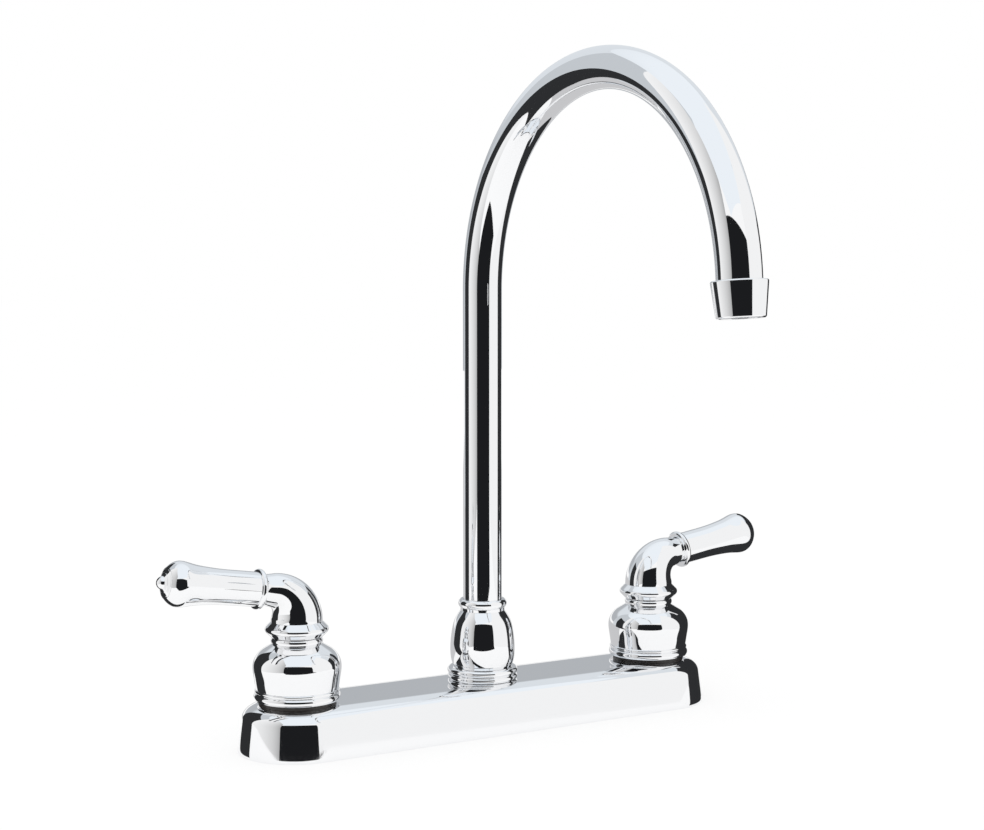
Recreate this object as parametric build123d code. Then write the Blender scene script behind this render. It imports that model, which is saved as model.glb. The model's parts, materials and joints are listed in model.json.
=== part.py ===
"""Two handle kitchen faucet with a high arc swivel spout, as separate pieces.

Millimetres. +Z is up, +X runs along the deck plate towards the cold handle and
-Y points at the user. The origin is the middle of the deck plate's underside,
on the spout's swivel axis, so the sink's top is the plane Z = 0.
"""

import os
from math import cos, pi, radians, sin, tan

from build123d import *

os.makedirs("parts", exist_ok=True)

# ---------------------------------------------------------------- fits
running_gap = 0.06  # radial clearance of a shaft that turns in a bore
face_gap = 0.05  # gap between two faces that slide on each other
slip_gap = 0.03  # clearance of pieces pushed together and fixed
air_gap = 0.35  # clear space between pieces that turn past each other

# ---------------------------------------------------------------- deck plate
handle_spacing = 203.2  # 8 in between the handle axes, the standard sink drilling
deck_depth = 56.6  # its ends are half circles about the handle axes
deck_height = 22.8
deck_draft = 6.5  # degrees that the side walls lean in
deck_crown_reach = 12.0  # width of the rounded border of the top
deck_crown_drop = 6.6  # how far the border falls to the walls
deck_wall = 2.0
casting_gap = 1.0  # between the castings under the plate and its inside
gasket_thickness = 3.0

# ---------------------------------------------------------------- valve body
shank_radius = 10.48  # 1/2 in straight pipe thread, over the crests
shank_bore_radius = 6.5
shank_length = 52.0  # below the sink's top
shank_plain_length = 14.0  # plain end that the supply nut slides over
thread_pitch = 1.814
thread_depth = 0.9
valve_base_radius = 17.0
valve_column_radius = 13.0
valve_column_top = 37.0
seat_depth = 2.0  # height of the seat above the valve body's foot
cartridge_radius = 9.45

# ---------------------------------------------------------------- crossover
crossover_height = 11.5
crossover_radius = 5.0
crossover_bore_radius = 3.8
socket_depth = 6.0

# ---------------------------------------------------------------- sink fixings
sink_thickness = 4.0
washer_thickness = 1.6
washer_radius = 19.0
locknut_height = 12.0
locknut_radius = 15.5
wing_reach = 24.0
wing_width = 6.0
wing_height = 9.0
wing_edge_radius = 1.8
wing_count = 4

# ---------------------------------------------------------------- cartridge
seal_thickness = 2.0
disc_thickness = 2.5
port_at = 4.3  # middle of a disc's port, from the axis
port_length = 3.6
port_width = 5.0
port_corner_radius = 1.0
chamber_wall = 1.2
chamber_height = 11.0
window_width = 9.0
window_height = 5.1
hex_across_flats = 22.0
hex_height = 4.0
guide_radius = 8.6
guide_top = 51.0
stem_radius = 4.5
stem_foot_height = 5.0
stem_notch_height = 3.5
stem_square = 6.3
stem_round_top = 52.5
stem_top = 66.0
stem_ring_height = 30.0
stem_ring_thickness = 1.5
groove_ratio = 1.2  # width of a ring's groove over the ring's section

# ---------------------------------------------------------------- bell
seat_ring_height = 1.7
seat_ring_radius = 18.3
seat_ring_dip = 0.5  # how far its lower face follows the plate's rounded border
bell_foot_edge_radius = 19.85
bell_foot_radius = 20.4
bell_foot_height = 3.4
bell_ring_radius = 19.95  # small ridge on the foot
bell_ring_height = 1.7
bell_groove_radius = 19.4  # above and below the small ridge
bell_waist_radius = 19.6
bell_waist_rise = 1.2  # from the small ridge to the waist
bell_belly_radius = 20.75
bell_belly_height = 39.8
bell_shoulder_height = 50.7
bell_neck_radius = 12.2
bell_top = 53.7
bell_wall = 1.8
bell_web = 2.6
# Points from the belly to the neck, as shares of the change in radius and height.
bell_shoulder = ((0.956, 0.257), (0.84, 0.46), (0.61, 0.68), (0.29, 0.853))
ridge_depth = 0.55

# ---------------------------------------------------------------- handle
hub_foot_radius = 12.2
hub_bead_radius = 14.95
hub_bead_height = 6.85
hub_bead_slope = 2.0  # height of the 45 degree slopes below and above its rim
hub_radius = 12.1
hub_bead_overhang = 0.3
hub_neck_radius = 7.0
hub_recess_radius = 10.0
hub_recess_depth = 2.0
elbow_start = 62.7  # height where the elbow leaves the upright
elbow_radius = 14.0
elbow_reach = 6.6  # straight run after the bend
elbow_sections = 9
lever_tilt = 8.6  # degrees that the lever rises outwards
collar_width = 2.6
collar_radius = 9.5
lever_start_radius = 8.1
lever_middle_radius = 8.15
lever_ball_radius = 10.55
lever_ball_at = 39.2  # along the lever, from the middle of its collar
# Points before the ball, as shares of its distance and of the change in radius.
lever_flare = ((0.51, 0.045), (0.69, 0.245), (0.815, 0.49), (0.92, 0.83))
ball_end_length = 6.3
ball_end_radius = 7.1
# Points after the ball, as shares of the end's length and of the change in radius.
ball_curve = ((0.32, 0.09), (0.53, 0.27), (0.765, 0.58))
button_radius = 3.1
button_at = 46.9
button_neck_angle = 5.0  # where the end cone meets the button's sphere
stud_radius = 2.5
stud_in_hub = 9.0
stud_in_lever = 26.0
plug_radius = 4.0
plug_length = 7.0
screw_radius = 2.0
screw_chamfer = 0.6
screw_length = 7.2
screw_height = 63.4
screw_socket = 2.0
screw_socket_depth = 2.5

# ---------------------------------------------------------------- spout mounting
post_base_radius = 16.0
post_radius = 12.0
post_top = 37.0
post_bore_radius = 9.0
post_bore_floor = 6.0
bearing_thickness = 1.0
bearing_inset = 0.3  # from the post's outside
base_ring_radius = 17.3
base_ring_height = 6.3
base_ring_bead = 3.0  # height of the lower bead
base_ring_groove = 0.9
base_ring_bulge = 17.4  # radius of the upper bead
base_ring_top_radius = 15.9
nut_foot_radius = 14.45
nut_foot_flare = 0.95  # gain in radius over the first third up to the belly
nut_belly_radius = 15.95
nut_belly_height = 38.3
nut_waist_radius = 10.9
nut_collar_radius = 12.0
nut_collar_height = 4.2
nut_collar_round = 1.2
nut_waist_height = 1.4
nut_top = 62.6
# Points from the belly to the waist, as shares of the change in radius and height.
nut_flank = ((0.865, 0.41), (0.505, 0.78))

# ---------------------------------------------------------------- spout
tube_radius = 9.525  # 3/4 in tube
tube_wall = 1.2
bend_radius = 98.8
bend_height = 214.5
bend_angle = 175.0
tip_length = 4.0
stem_flange_thickness = 2.0
stem_flange_inset = 0.6  # from the inside of the nut
stem_spigot_length = 12.0
spout_stem_bottom = 15.6
spout_stem_wall = 2.4
o_ring_section = 1.8
o_ring_heights = (20.5, 28.5)
retaining_ring_thickness = 1.5
retaining_ring_slot = 3.0

# ---------------------------------------------------------------- aerator
aerator_top_radius = 11.85
aerator_bottom_radius = 10.3
aerator_height = 15.3
aerator_overlap = 1.2  # how far the housing reaches up the tube
aerator_edge = 0.5
adapter_thread_radius = 10.1
adapter_thread_length = 5.8
adapter_bore_radius = 6.6
aerator_washer_thickness = 1.2
insert_flange_thickness = 1.0
insert_radius = 8.8
insert_recess = 0.9  # how far the insert stays back from the rim
jet_radius = 0.8
jet_pitch = 2.3
jet_rings = 3
screen_radius = 7.8
screen_thickness = 0.4
screen_hole_radius = 0.55
screen_hole_pitch = 1.65
screen_hole_rings = 4

# Sizes and heights that follow from the ones above.
casting_top = deck_height - deck_wall - casting_gap
seat_height = gasket_thickness + seat_depth
seal_top = seat_height + seal_thickness
fixed_disc_top = seal_top + disc_thickness
moving_disc_top = fixed_disc_top + face_gap + disc_thickness
chamber_radius = cartridge_radius - chamber_wall
chamber_top = seal_top + chamber_height
hex_top = valve_column_top + hex_height
bell_bottom = deck_height + seat_ring_height
hub_bottom = bell_top + air_gap
handle_x = handle_spacing / 2
quarter_handle = 4 * (2**0.5 - 1) / 3  # handle of the Bezier curve for a quarter circle


# ================================================================ helpers
def outline(start, *steps):
    """Closed outline in the XZ plane from (radius, height) points.

    A step is a point for a straight run, a (middle, end) pair for an arc, or
    a list of points for a smooth curve through them.
    """
    edges = []
    here = start
    for step in steps:
        if isinstance(step, list):
            points = [here, *step]
            edges.append(Spline(*[(r, 0, z) for r, z in points]))
            here = step[-1]
        elif isinstance(step[0], tuple):
            middle, end = step
            points = [here, middle, end]
            edges.append(ThreePointArc(*[(r, 0, z) for r, z in points]))
            here = end
        else:
            edges.append(Line((here[0], 0, here[1]), (step[0], 0, step[1])))
            here = step
    edges.append(Line((here[0], 0, here[1]), (start[0], 0, start[1])))
    return make_face(edges)


def turned(start, *steps):
    """Solid turned about Z from the outline."""
    return revolve(outline(start, *steps), axis=Axis.Z)


def tube(outer, inner, low, high):
    """Plain ring or tube about Z."""
    return turned((inner, low), (outer, low), (outer, high), (inner, high))


def rod(radius, low, high):
    """Plain cylinder about Z."""
    return Pos(0, 0, low) * Cylinder(radius, high - low, align=(Align.CENTER, Align.CENTER, Align.MIN))


def ridges(radius, depth, low, high, count):
    """Steps that go up a stack of rounded ridges on a turned piece."""
    pitch = (high - low) / count
    steps = []
    for index in range(count):
        foot = low + index * pitch
        steps.append(((radius, foot + pitch / 2), (radius - depth, foot + pitch)))
    return steps


def thread(radius, depth, pitch, low, high):
    """Steps that go up a row of V grooves, standing in for a screw thread."""
    count = int((high - low) / pitch)
    steps = []
    for index in range(count):
        crest = low + index * pitch
        steps.append((radius, crest + pitch * 0.15))
        steps.append((radius - depth, crest + pitch * 0.575))
        steps.append((radius, crest + pitch))
    return steps


def round_section(radius, thickness, height):
    """O-ring about Z."""
    return Pos(0, 0, height) * Torus(radius, thickness / 2)


# ================================================================ deck plate
def deck_solid(inset):
    """Solid with half round ends and a crowned top, inset from the plate's outside."""
    lean = tan(radians(deck_draft))
    wall_height = deck_height - deck_crown_drop
    top = deck_height - inset
    foot = deck_depth / 2 - inset
    rim = foot - wall_height * lean
    flat = rim - deck_crown_reach
    rise = quarter_handle * deck_crown_drop
    crown = (
        (rim, 0, wall_height - inset),
        (rim - rise * lean, 0, wall_height - inset + rise),
        (flat + quarter_handle * deck_crown_reach, 0, top),
        (flat, 0, top),
    )
    edges = [
        Line((0, 0, -inset), (foot, 0, -inset)),
        Line((foot, 0, -inset), crown[0]),
        Bezier(*crown),
        Line(crown[3], (0, 0, top)),
        Line((0, 0, top), (0, 0, -inset)),
    ]
    half = make_face(edges)
    end = Pos(handle_x, 0, 0) * Rot(0, 0, -90) * revolve(half, axis=Axis.Z, revolution_arc=180)
    side = extrude(Pos(-handle_x, 0, 0) * Rot(0, 0, 90) * half, handle_spacing, dir=(1, 0, 0))
    return side + mirror(side, about=Plane.XZ) + end + mirror(end, about=Plane.YZ)


def deck_plate():
    """Hollow cover with a hole for each valve and one for the spout."""
    shell = deck_solid(0) - deck_solid(deck_wall)
    for x in (-handle_x, handle_x):
        shell -= Pos(x, 0, 0) * rod(valve_column_radius + air_gap, 0, deck_height)
    return shell - rod(post_radius + air_gap, 0, deck_height)


def deck_gasket():
    """Flat foam gasket inside the rim, pressed on the sink."""
    inset = deck_wall + gasket_thickness * tan(radians(deck_draft)) + air_gap
    plan = SlotCenterToCenter(handle_spacing, deck_depth - 2 * inset)
    gasket = extrude(plan, gasket_thickness)
    for x in (-handle_x, handle_x):
        gasket -= Pos(x, 0, 0) * rod(shank_radius + air_gap, 0, gasket_thickness)
    return gasket


# ================================================================ valve, one side
# A side is modelled about its own handle axis, with +X pointing outwards.
def valve_body():
    """Shank, base and column in one casting, with a port towards the spout."""
    low = -shank_length
    thread_low = low + shank_plain_length
    body = turned(
        (shank_bore_radius, low),
        (shank_radius, low),
        (shank_radius, thread_low),
        *thread(shank_radius, thread_depth, thread_pitch, thread_low, 0),
        (shank_radius, gasket_thickness),
        (valve_base_radius, gasket_thickness),
        (valve_base_radius, casting_top),
        (valve_column_radius, casting_top),
        (valve_column_radius, valve_column_top),
        (cartridge_radius + slip_gap, valve_column_top),
        (cartridge_radius + slip_gap, seat_height),
        (shank_bore_radius, seat_height),
    )
    return body - inward_port(valve_base_radius)


def inward_port(body_radius):
    """Stepped hole along -X: a socket for the crossover tube, then its bore."""
    along_x = Location((0, 0, crossover_height), (0, -90, 0))
    bore = rod(crossover_bore_radius, 0, body_radius + 1)
    socket = rod(crossover_radius, body_radius - socket_depth, body_radius + 1)
    return along_x * (bore + socket)


def crossover_tube():
    """Copper pipe from a valve's socket to the spout post's socket."""
    start = valve_base_radius - socket_depth
    end = handle_x - post_base_radius + socket_depth
    along_x = Location((0, 0, crossover_height), (0, -90, 0))
    return along_x * tube(crossover_radius, crossover_bore_radius, start, end)


def locknut_washer():
    """Flat steel washer under the sink."""
    top = -sink_thickness
    return tube(washer_radius, shank_radius + air_gap, top - washer_thickness, top)


def locknut():
    """Plastic wing nut that pulls the shank down."""
    top = -sink_thickness - washer_thickness
    low = top - locknut_height
    nut = rod(locknut_radius, low, top)
    for index in range(wing_count):
        wing = Pos(wing_reach / 2, 0, top - wing_height / 2) * Box(wing_reach, wing_width, wing_height)
        wing = fillet(wing.edges().filter_by(Axis.Z), wing_edge_radius)
        nut += Rot(0, 0, 45 + index * 360 / wing_count) * wing
    return nut - rod(shank_radius + slip_gap, low, top)


def seat_seal():
    """Rubber seal between the seat and the cartridge."""
    return tube(cartridge_radius, shank_bore_radius, seat_height, seal_top)


def ported_disc(low, port_turn):
    """Ceramic disc with two sector ports, turned by port_turn degrees."""
    radius = chamber_radius - running_gap
    disc = rod(radius, low, low + disc_thickness)
    plan = Pos(port_at, 0, low) * RectangleRounded(port_length, port_width, port_corner_radius)
    port = extrude(plan, disc_thickness)
    for turn in (port_turn, port_turn + 180):
        disc -= Rot(0, 0, turn) * port
    return disc


def cartridge_body():
    """Brass sleeve with a hexagon, side windows and the stem's guide."""
    guide = stem_radius + running_gap
    sleeve = turned(
        (chamber_radius, seal_top),
        (cartridge_radius, seal_top),
        (cartridge_radius, valve_column_top),
        (guide_radius, valve_column_top),
        (guide_radius, guide_top),
        (guide, guide_top),
        (guide, chamber_top),
        (chamber_radius, chamber_top),
    )
    hexagon = extrude(RegularPolygon(hex_across_flats / 2, 6, major_radius=False), hex_height)
    hexagon = Pos(0, 0, valve_column_top) * hexagon - rod(guide, valve_column_top, hex_top)
    window_middle = crossover_height + crossover_bore_radius - window_height / 2
    window = Pos(0, 0, window_middle) * Box(4 * cartridge_radius, window_width, window_height)
    return sleeve + hexagon - window


def stem():
    """Spindle: foot on the moving disc, groove for its ring, square top."""
    groove = stem_radius + running_gap / 2 - stem_ring_thickness - slip_gap
    half_groove = groove_ratio * stem_ring_thickness / 2
    groove_low = stem_ring_height - half_groove
    groove_high = stem_ring_height + half_groove
    foot_top = moving_disc_top + stem_foot_height
    foot_radius = chamber_radius - running_gap
    spindle = turned(
        (0, moving_disc_top),
        (foot_radius, moving_disc_top),
        (foot_radius, foot_top),
        (stem_radius, foot_top),
        (stem_radius, groove_low),
        (groove, groove_low),
        (groove, groove_high),
        (stem_radius, groove_high),
        (stem_radius, stem_round_top),
        (0, stem_round_top),
    )
    for turn in (90, 270):
        notch = Pos(foot_radius, 0, moving_disc_top) * Box(
            foot_radius,
            foot_radius,
            stem_notch_height,
            align=(Align.CENTER, Align.CENTER, Align.MIN),
        )
        spindle -= Rot(0, 0, turn) * notch
    square = extrude(Rectangle(stem_square, stem_square), stem_top - stem_round_top)
    return spindle + Pos(0, 0, stem_round_top) * square


def stem_o_ring():
    """Rubber ring in the stem's groove."""
    middle = stem_radius - stem_ring_thickness / 2 + running_gap / 2
    return round_section(middle, stem_ring_thickness, stem_ring_height)


def bell_gasket():
    """Dark seat ring between the bell and the deck plate."""
    inner = valve_column_radius + slip_gap
    ring = tube(seat_ring_radius, inner, deck_height - seat_ring_dip, bell_bottom)
    return ring - Pos(-handle_x, 0, 0) * deck_solid(0)


def bell():
    """Bell shaped cover that screws on the valve's column."""
    foot_top = bell_bottom + bell_foot_height
    ring_top = foot_top + bell_ring_height
    neck = bell_neck_radius - ridge_depth
    rise = bell_shoulder_height - bell_belly_height
    swell = bell_belly_radius - neck
    inner_neck = neck - bell_wall
    web_top = bell_bottom + bell_web
    middle = ((bell_waist_radius + bell_belly_radius) / 2, (ring_top + bell_belly_height) / 2)
    curve = [(neck + swell * out, bell_belly_height + rise * up) for out, up in bell_shoulder]
    inner_curve = [(radius - bell_wall, height - bell_wall) for radius, height in reversed(curve)]
    inner_curve.append((bell_belly_radius - bell_wall, bell_belly_height - bell_wall))
    return turned(
        (valve_column_radius, bell_bottom),
        (bell_foot_edge_radius, bell_bottom),
        ((bell_foot_radius, (bell_bottom + foot_top) / 2), (bell_groove_radius, foot_top)),
        ((bell_ring_radius, (foot_top + ring_top) / 2), (bell_groove_radius, ring_top)),
        [
            (bell_waist_radius, ring_top + bell_waist_rise),
            middle,
            (bell_belly_radius, bell_belly_height),
            *curve,
            (neck, bell_shoulder_height),
        ],
        *ridges(bell_neck_radius, ridge_depth, bell_shoulder_height, bell_top, 1),
        (inner_neck, bell_top),
        (inner_neck, bell_shoulder_height - bell_wall),
        inner_curve,
        (bell_waist_radius - bell_wall, web_top),
        (valve_column_radius, web_top),
    )


# ================================================================ handle, one side
def lever_frame():
    """Frame at the middle of the lever's collar, with Z along the lever."""
    turn = radians(90 - lever_tilt)
    x = elbow_radius * (1 - cos(turn)) + elbow_reach * sin(turn)
    z = elbow_start + elbow_radius * sin(turn) + elbow_reach * cos(turn)
    half = collar_width / 2
    x += half * sin(turn)
    z += half * cos(turn)
    return Location((x, 0, z), (0, 90 - lever_tilt, 0))


def elbow_section(share):
    """Circle across the elbow at a share, 0 to 1, of its run."""
    turn_end = radians(90 - lever_tilt)
    arc_length = elbow_radius * turn_end
    along = share * (arc_length + elbow_reach)
    turn = min(along, arc_length) / elbow_radius
    straight = max(along - arc_length, 0)
    x = elbow_radius * (1 - cos(turn)) + straight * sin(turn)
    z = elbow_start + elbow_radius * sin(turn) + straight * cos(turn)
    taper = (share + (1 - cos(pi * share)) / 2) / 2
    radius = hub_radius + (hub_neck_radius - hub_radius) * taper
    return Location((x, 0, z), (0, turn * 180 / pi, 0)) * Circle(radius)


def handle_hub():
    """Cast elbow with a bead at its foot, a square hole and a screw hole."""
    slope = hub_bead_slope
    bead_rim = hub_radius + hub_bead_overhang
    bead_top = hub_bottom + hub_bead_height
    bead_middle = (hub_bottom + bead_top) / 2
    upright = turned(
        (0, hub_bottom),
        (hub_foot_radius, hub_bottom),
        (hub_foot_radius + slope, hub_bottom + slope),
        ((hub_bead_radius, bead_middle), (bead_rim + slope, bead_top - slope)),
        (bead_rim, bead_top),
        (hub_radius, bead_top + hub_bead_overhang),
        (hub_radius, elbow_start),
        (0, elbow_start),
    )
    elbow = loft([elbow_section(index / (elbow_sections - 1)) for index in range(elbow_sections)])
    hub = upright + elbow
    hub -= rod(hub_recess_radius, hub_bottom, hub_bottom + hub_recess_depth)
    hole = stem_square + 2 * slip_gap
    hub -= Pos(0, 0, hub_bottom) * extrude(Rectangle(hole, hole), stem_top + slip_gap - hub_bottom)
    hub -= screw_axis() * rod(screw_radius, 0, hub_radius + 1)
    return hub - lever_frame() * rod(stud_radius, -stud_in_hub, collar_width)


def screw_axis():
    """Frame on the stem's back face, with Z pointing back along +Y."""
    return Location((0, stem_square / 2, screw_height), (-90, 0, 0))


def set_screw():
    """Socket set screw that clamps the hub on the stem, from behind."""
    socket = extrude(RegularPolygon(screw_socket / 2, 6, major_radius=False), screw_socket_depth)
    screw = rod(screw_radius, 0, screw_length)
    screw = chamfer(screw.edges().sort_by(Axis.Z)[0], screw_chamfer)
    return screw_axis() * (screw - Pos(0, 0, screw_length - screw_socket_depth) * socket)


def lever_collar():
    """Ring with a rounded rim between the hub and the lever."""
    half = collar_width / 2
    shoulder = collar_radius - half
    ring = turned(
        (stud_radius, -half),
        (shoulder, -half),
        ((collar_radius, 0), (shoulder, half)),
        (stud_radius, half),
    )
    return lever_frame() * ring


def lever():
    """Flared grip that ends in a ball."""
    start = collar_width / 2
    end = lever_ball_at + ball_end_length
    swell = lever_ball_radius - lever_middle_radius
    drop = lever_ball_radius - ball_end_radius
    plug_seat = end - plug_length
    grip = turned(
        (stud_radius, start),
        (lever_start_radius, start),
        [
            ((lever_start_radius + lever_middle_radius) / 2, lever_ball_at / 4),
            *[(lever_middle_radius + swell * out, lever_ball_at * along) for along, out in lever_flare],
            (lever_ball_radius, lever_ball_at),
            *[(lever_ball_radius - drop * fall, lever_ball_at + ball_end_length * along) for along, fall in ball_curve],
            (ball_end_radius, end),
        ],
        (plug_radius, end),
        (plug_radius, plug_seat),
        (stud_radius, plug_seat),
    )
    return lever_frame() * grip


def lever_stud():
    """Threaded rod that joins the hub, the collar and the lever."""
    return lever_frame() * rod(stud_radius, -stud_in_hub, stud_in_lever)


def lever_button():
    """End cap of the ball: a shallow cone with a small round button."""
    end = lever_ball_at + ball_end_length
    neck_turn = radians(button_neck_angle)
    neck = button_radius * cos(neck_turn)
    neck_at = button_at + button_radius * sin(neck_turn)
    half_turn = (neck_turn + pi / 2) / 2
    half_way = (button_radius * cos(half_turn), button_at + button_radius * sin(half_turn))
    plug_end = end - plug_length + air_gap
    cap = turned(
        (0, plug_end),
        (plug_radius, plug_end),
        (plug_radius, end),
        (ball_end_radius, end),
        (neck, neck_at),
        (half_way, (0, button_at + button_radius)),
    )
    return lever_frame() * cap


# ================================================================ spout mounting
def centre_body():
    """Middle casting: two sockets for the crossovers and the spout's post."""
    body = turned(
        (0, gasket_thickness),
        (post_base_radius, gasket_thickness),
        (post_base_radius, casting_top),
        (post_radius, casting_top),
        (post_radius, post_top),
        (post_bore_radius, post_top),
        (post_bore_radius, post_bore_floor),
        (0, post_bore_floor),
    )
    port = inward_port(post_base_radius)
    return body - port - mirror(port, about=Plane.YZ)


def spout_base_ring():
    """Two beads that carry the nut on the deck plate."""
    low = deck_height
    high = deck_height + base_ring_height
    middle = low + base_ring_bead
    return turned(
        (post_radius, low),
        (base_ring_radius - base_ring_groove, low),
        *ridges(base_ring_radius, base_ring_groove, low, middle, 1),
        ((base_ring_bulge, (middle + high) / 2), (base_ring_top_radius, high)),
        (post_radius, high),
    )


def spout_nut():
    """Vase shaped nut that holds the spout down on its post."""
    low = deck_height + base_ring_height
    collar_low = nut_top - nut_collar_height
    collar_rim = nut_collar_radius - nut_collar_round
    tube_bore = tube_radius + running_gap
    shoulder = spout_shoulder() + stem_flange_thickness + retaining_ring_thickness + face_gap
    waist_low = collar_low - nut_waist_height
    upper = waist_low - nut_belly_height
    swell = nut_belly_radius - nut_waist_radius
    return turned(
        (post_radius, low),
        (nut_foot_radius, low),
        [
            (nut_foot_radius + nut_foot_flare, (2 * low + nut_belly_height) / 3),
            (nut_belly_radius, nut_belly_height),
            *[(nut_waist_radius + swell * out, nut_belly_height + upper * up) for out, up in nut_flank],
            (nut_waist_radius, waist_low),
        ],
        (nut_waist_radius, collar_low),
        (collar_rim, collar_low),
        ((nut_collar_radius, (collar_low + nut_top) / 2), (collar_rim, nut_top)),
        (tube_bore, nut_top),
        (tube_bore, shoulder),
        (post_radius, shoulder),
    )


def bearing_washer():
    """Slippery washer on the post's top that the spout turns on."""
    return tube(post_radius - bearing_inset, post_bore_radius, post_top, post_top + bearing_thickness)


# ================================================================ spout
def spout_shoulder():
    """Height of the underside of the spout stem's flange."""
    return post_top + bearing_thickness + face_gap


def spout_stem():
    """Turned sleeve brazed in the tube's foot, with grooves for two rings."""
    outer = post_bore_radius - running_gap
    inner = outer - spout_stem_wall
    shoulder = spout_shoulder()
    flange_top = shoulder + stem_flange_thickness
    flange_radius = post_radius - stem_flange_inset
    spigot = tube_radius - tube_wall
    groove = post_bore_radius - running_gap / 2 - o_ring_section - slip_gap
    steps = []
    for height in o_ring_heights:
        low = height - groove_ratio * o_ring_section / 2
        high = height + groove_ratio * o_ring_section / 2
        steps += [(outer, low), (groove, low), (groove, high), (outer, high)]
    return turned(
        (inner, spout_stem_bottom),
        (outer, spout_stem_bottom),
        *steps,
        (outer, shoulder),
        (flange_radius, shoulder),
        (flange_radius, flange_top),
        (spigot, flange_top),
        (spigot, flange_top + stem_spigot_length),
        (inner, flange_top + stem_spigot_length),
    )


def spout_o_rings():
    """The two rubber rings that seal the spout in its post."""
    middle = post_bore_radius - running_gap / 2 - o_ring_section / 2
    lower, upper = o_ring_heights
    return round_section(middle, o_ring_section, lower) + round_section(middle, o_ring_section, upper)


def retaining_ring():
    """Split ring round the tube, on the stem's flange."""
    low = spout_shoulder() + stem_flange_thickness
    rim = post_radius - stem_flange_inset
    ring = tube(rim, tube_radius, low, low + retaining_ring_thickness)
    slot = Pos(0, post_radius, low + retaining_ring_thickness / 2) * Box(
        retaining_ring_slot, 2 * post_radius, 2 * retaining_ring_thickness
    )
    return ring - slot


def spout_path():
    """Centre line of the tube: up, over in one arc, and a short straight tip."""
    foot = spout_shoulder() + stem_flange_thickness
    turn = radians(bend_angle)
    top = (0, -bend_radius * (1 - cos(turn / 2)), bend_height + bend_radius * sin(turn / 2))
    end = (0, -bend_radius * (1 - cos(turn)), bend_height + bend_radius * sin(turn))
    tip = (0, end[1] - tip_length * sin(turn), end[2] + tip_length * cos(turn))
    rise = Line((0, 0, foot), (0, 0, bend_height))
    over = ThreePointArc((0, 0, bend_height), top, end)
    return rise + over + Line(end, tip)


def tip_frame():
    """Frame at the tube's open end, with Z pointing out of it."""
    path = spout_path()
    return Plane(origin=path @ 1, x_dir=(1, 0, 0), z_dir=path % 1).location


def spout_tube():
    """Bent tube of one bore."""
    path = spout_path()
    start = Plane(origin=path @ 0, z_dir=(0, 0, 1))
    ring = start * (Circle(tube_radius) - Circle(tube_radius - tube_wall))
    return sweep(ring, path=path)


# ================================================================ aerator
def aerator_step():
    """Distance from the tube's end to the ledge inside the housing."""
    return adapter_thread_length + aerator_washer_thickness + insert_flange_thickness


def aerator_adapter():
    """Brass sleeve brazed in the tube's end, threaded outside."""
    spigot = tube_radius - tube_wall
    sleeve = turned(
        (adapter_bore_radius, slip_gap - tip_length),
        (spigot, slip_gap - tip_length),
        (spigot, 0),
        (adapter_thread_radius, 0),
        (adapter_thread_radius, adapter_thread_length),
        (adapter_bore_radius, adapter_thread_length),
    )
    return tip_frame() * sleeve


def aerator_housing():
    """Tapered chrome ring that screws over the adapter."""
    top = -aerator_overlap
    bottom = aerator_height - aerator_overlap
    thread_bore = adapter_thread_radius + slip_gap
    lip_bore = insert_radius + slip_gap
    ring = turned(
        (tube_radius + slip_gap, top),
        (aerator_top_radius - aerator_edge, top),
        (aerator_top_radius, top + aerator_edge),
        (aerator_bottom_radius, bottom - aerator_edge),
        (aerator_bottom_radius - aerator_edge, bottom),
        (lip_bore, bottom),
        (lip_bore, aerator_step()),
        (thread_bore, aerator_step()),
        (thread_bore, 0),
        (tube_radius + slip_gap, 0),
    )
    return tip_frame() * ring


def aerator_washer():
    """Rubber washer between the adapter and the insert."""
    low = adapter_thread_length
    return tip_frame() * tube(adapter_thread_radius, screen_radius, low, low + aerator_washer_thickness)


def drill_rings(radius, pitch, rings, low, high):
    """Round holes in rings about the axis, six more in each ring."""
    holes = [rod(radius, low, high)]
    for ring in range(1, rings + 1):
        for index in range(6 * ring):
            holes.append(Rot(0, 0, index * 60 / ring) * Pos(ring * pitch, 0, 0) * rod(radius, low, high))
    return holes


def aerator_insert():
    """Plastic jet former with a flange and round jets."""
    low = aerator_step() - insert_flange_thickness
    high = aerator_height - aerator_overlap - insert_recess
    body = rod(insert_radius, low, high) + rod(adapter_thread_radius, low, aerator_step())
    body -= rod(screen_radius + slip_gap, low, low + screen_thickness)
    return tip_frame() * (body - drill_rings(jet_radius, jet_pitch, jet_rings, low, high))


def aerator_screen():
    """Fine strainer in the insert's top."""
    low = aerator_step() - insert_flange_thickness
    high = low + screen_thickness
    holes = drill_rings(screen_hole_radius, screen_hole_pitch, screen_hole_rings, low, high)
    return tip_frame() * (rod(screen_radius, low, high) - holes)


# ================================================================ assembly
side_pieces = {
    "valve_body": valve_body(),
    "crossover_tube": crossover_tube(),
    "locknut_washer": locknut_washer(),
    "locknut": locknut(),
    "seat_seal": seat_seal(),
    "fixed_disc": ported_disc(seal_top, 0),
    "moving_disc": ported_disc(fixed_disc_top + face_gap, 90),
    "cartridge_body": cartridge_body(),
    "stem": stem(),
    "stem_o_ring": stem_o_ring(),
    "bell_gasket": bell_gasket(),
    "bell": bell(),
    "handle_hub": handle_hub(),
    "set_screw": set_screw(),
    "lever_collar": lever_collar(),
    "lever": lever(),
    "lever_stud": lever_stud(),
    "lever_button": lever_button(),
}

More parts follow.
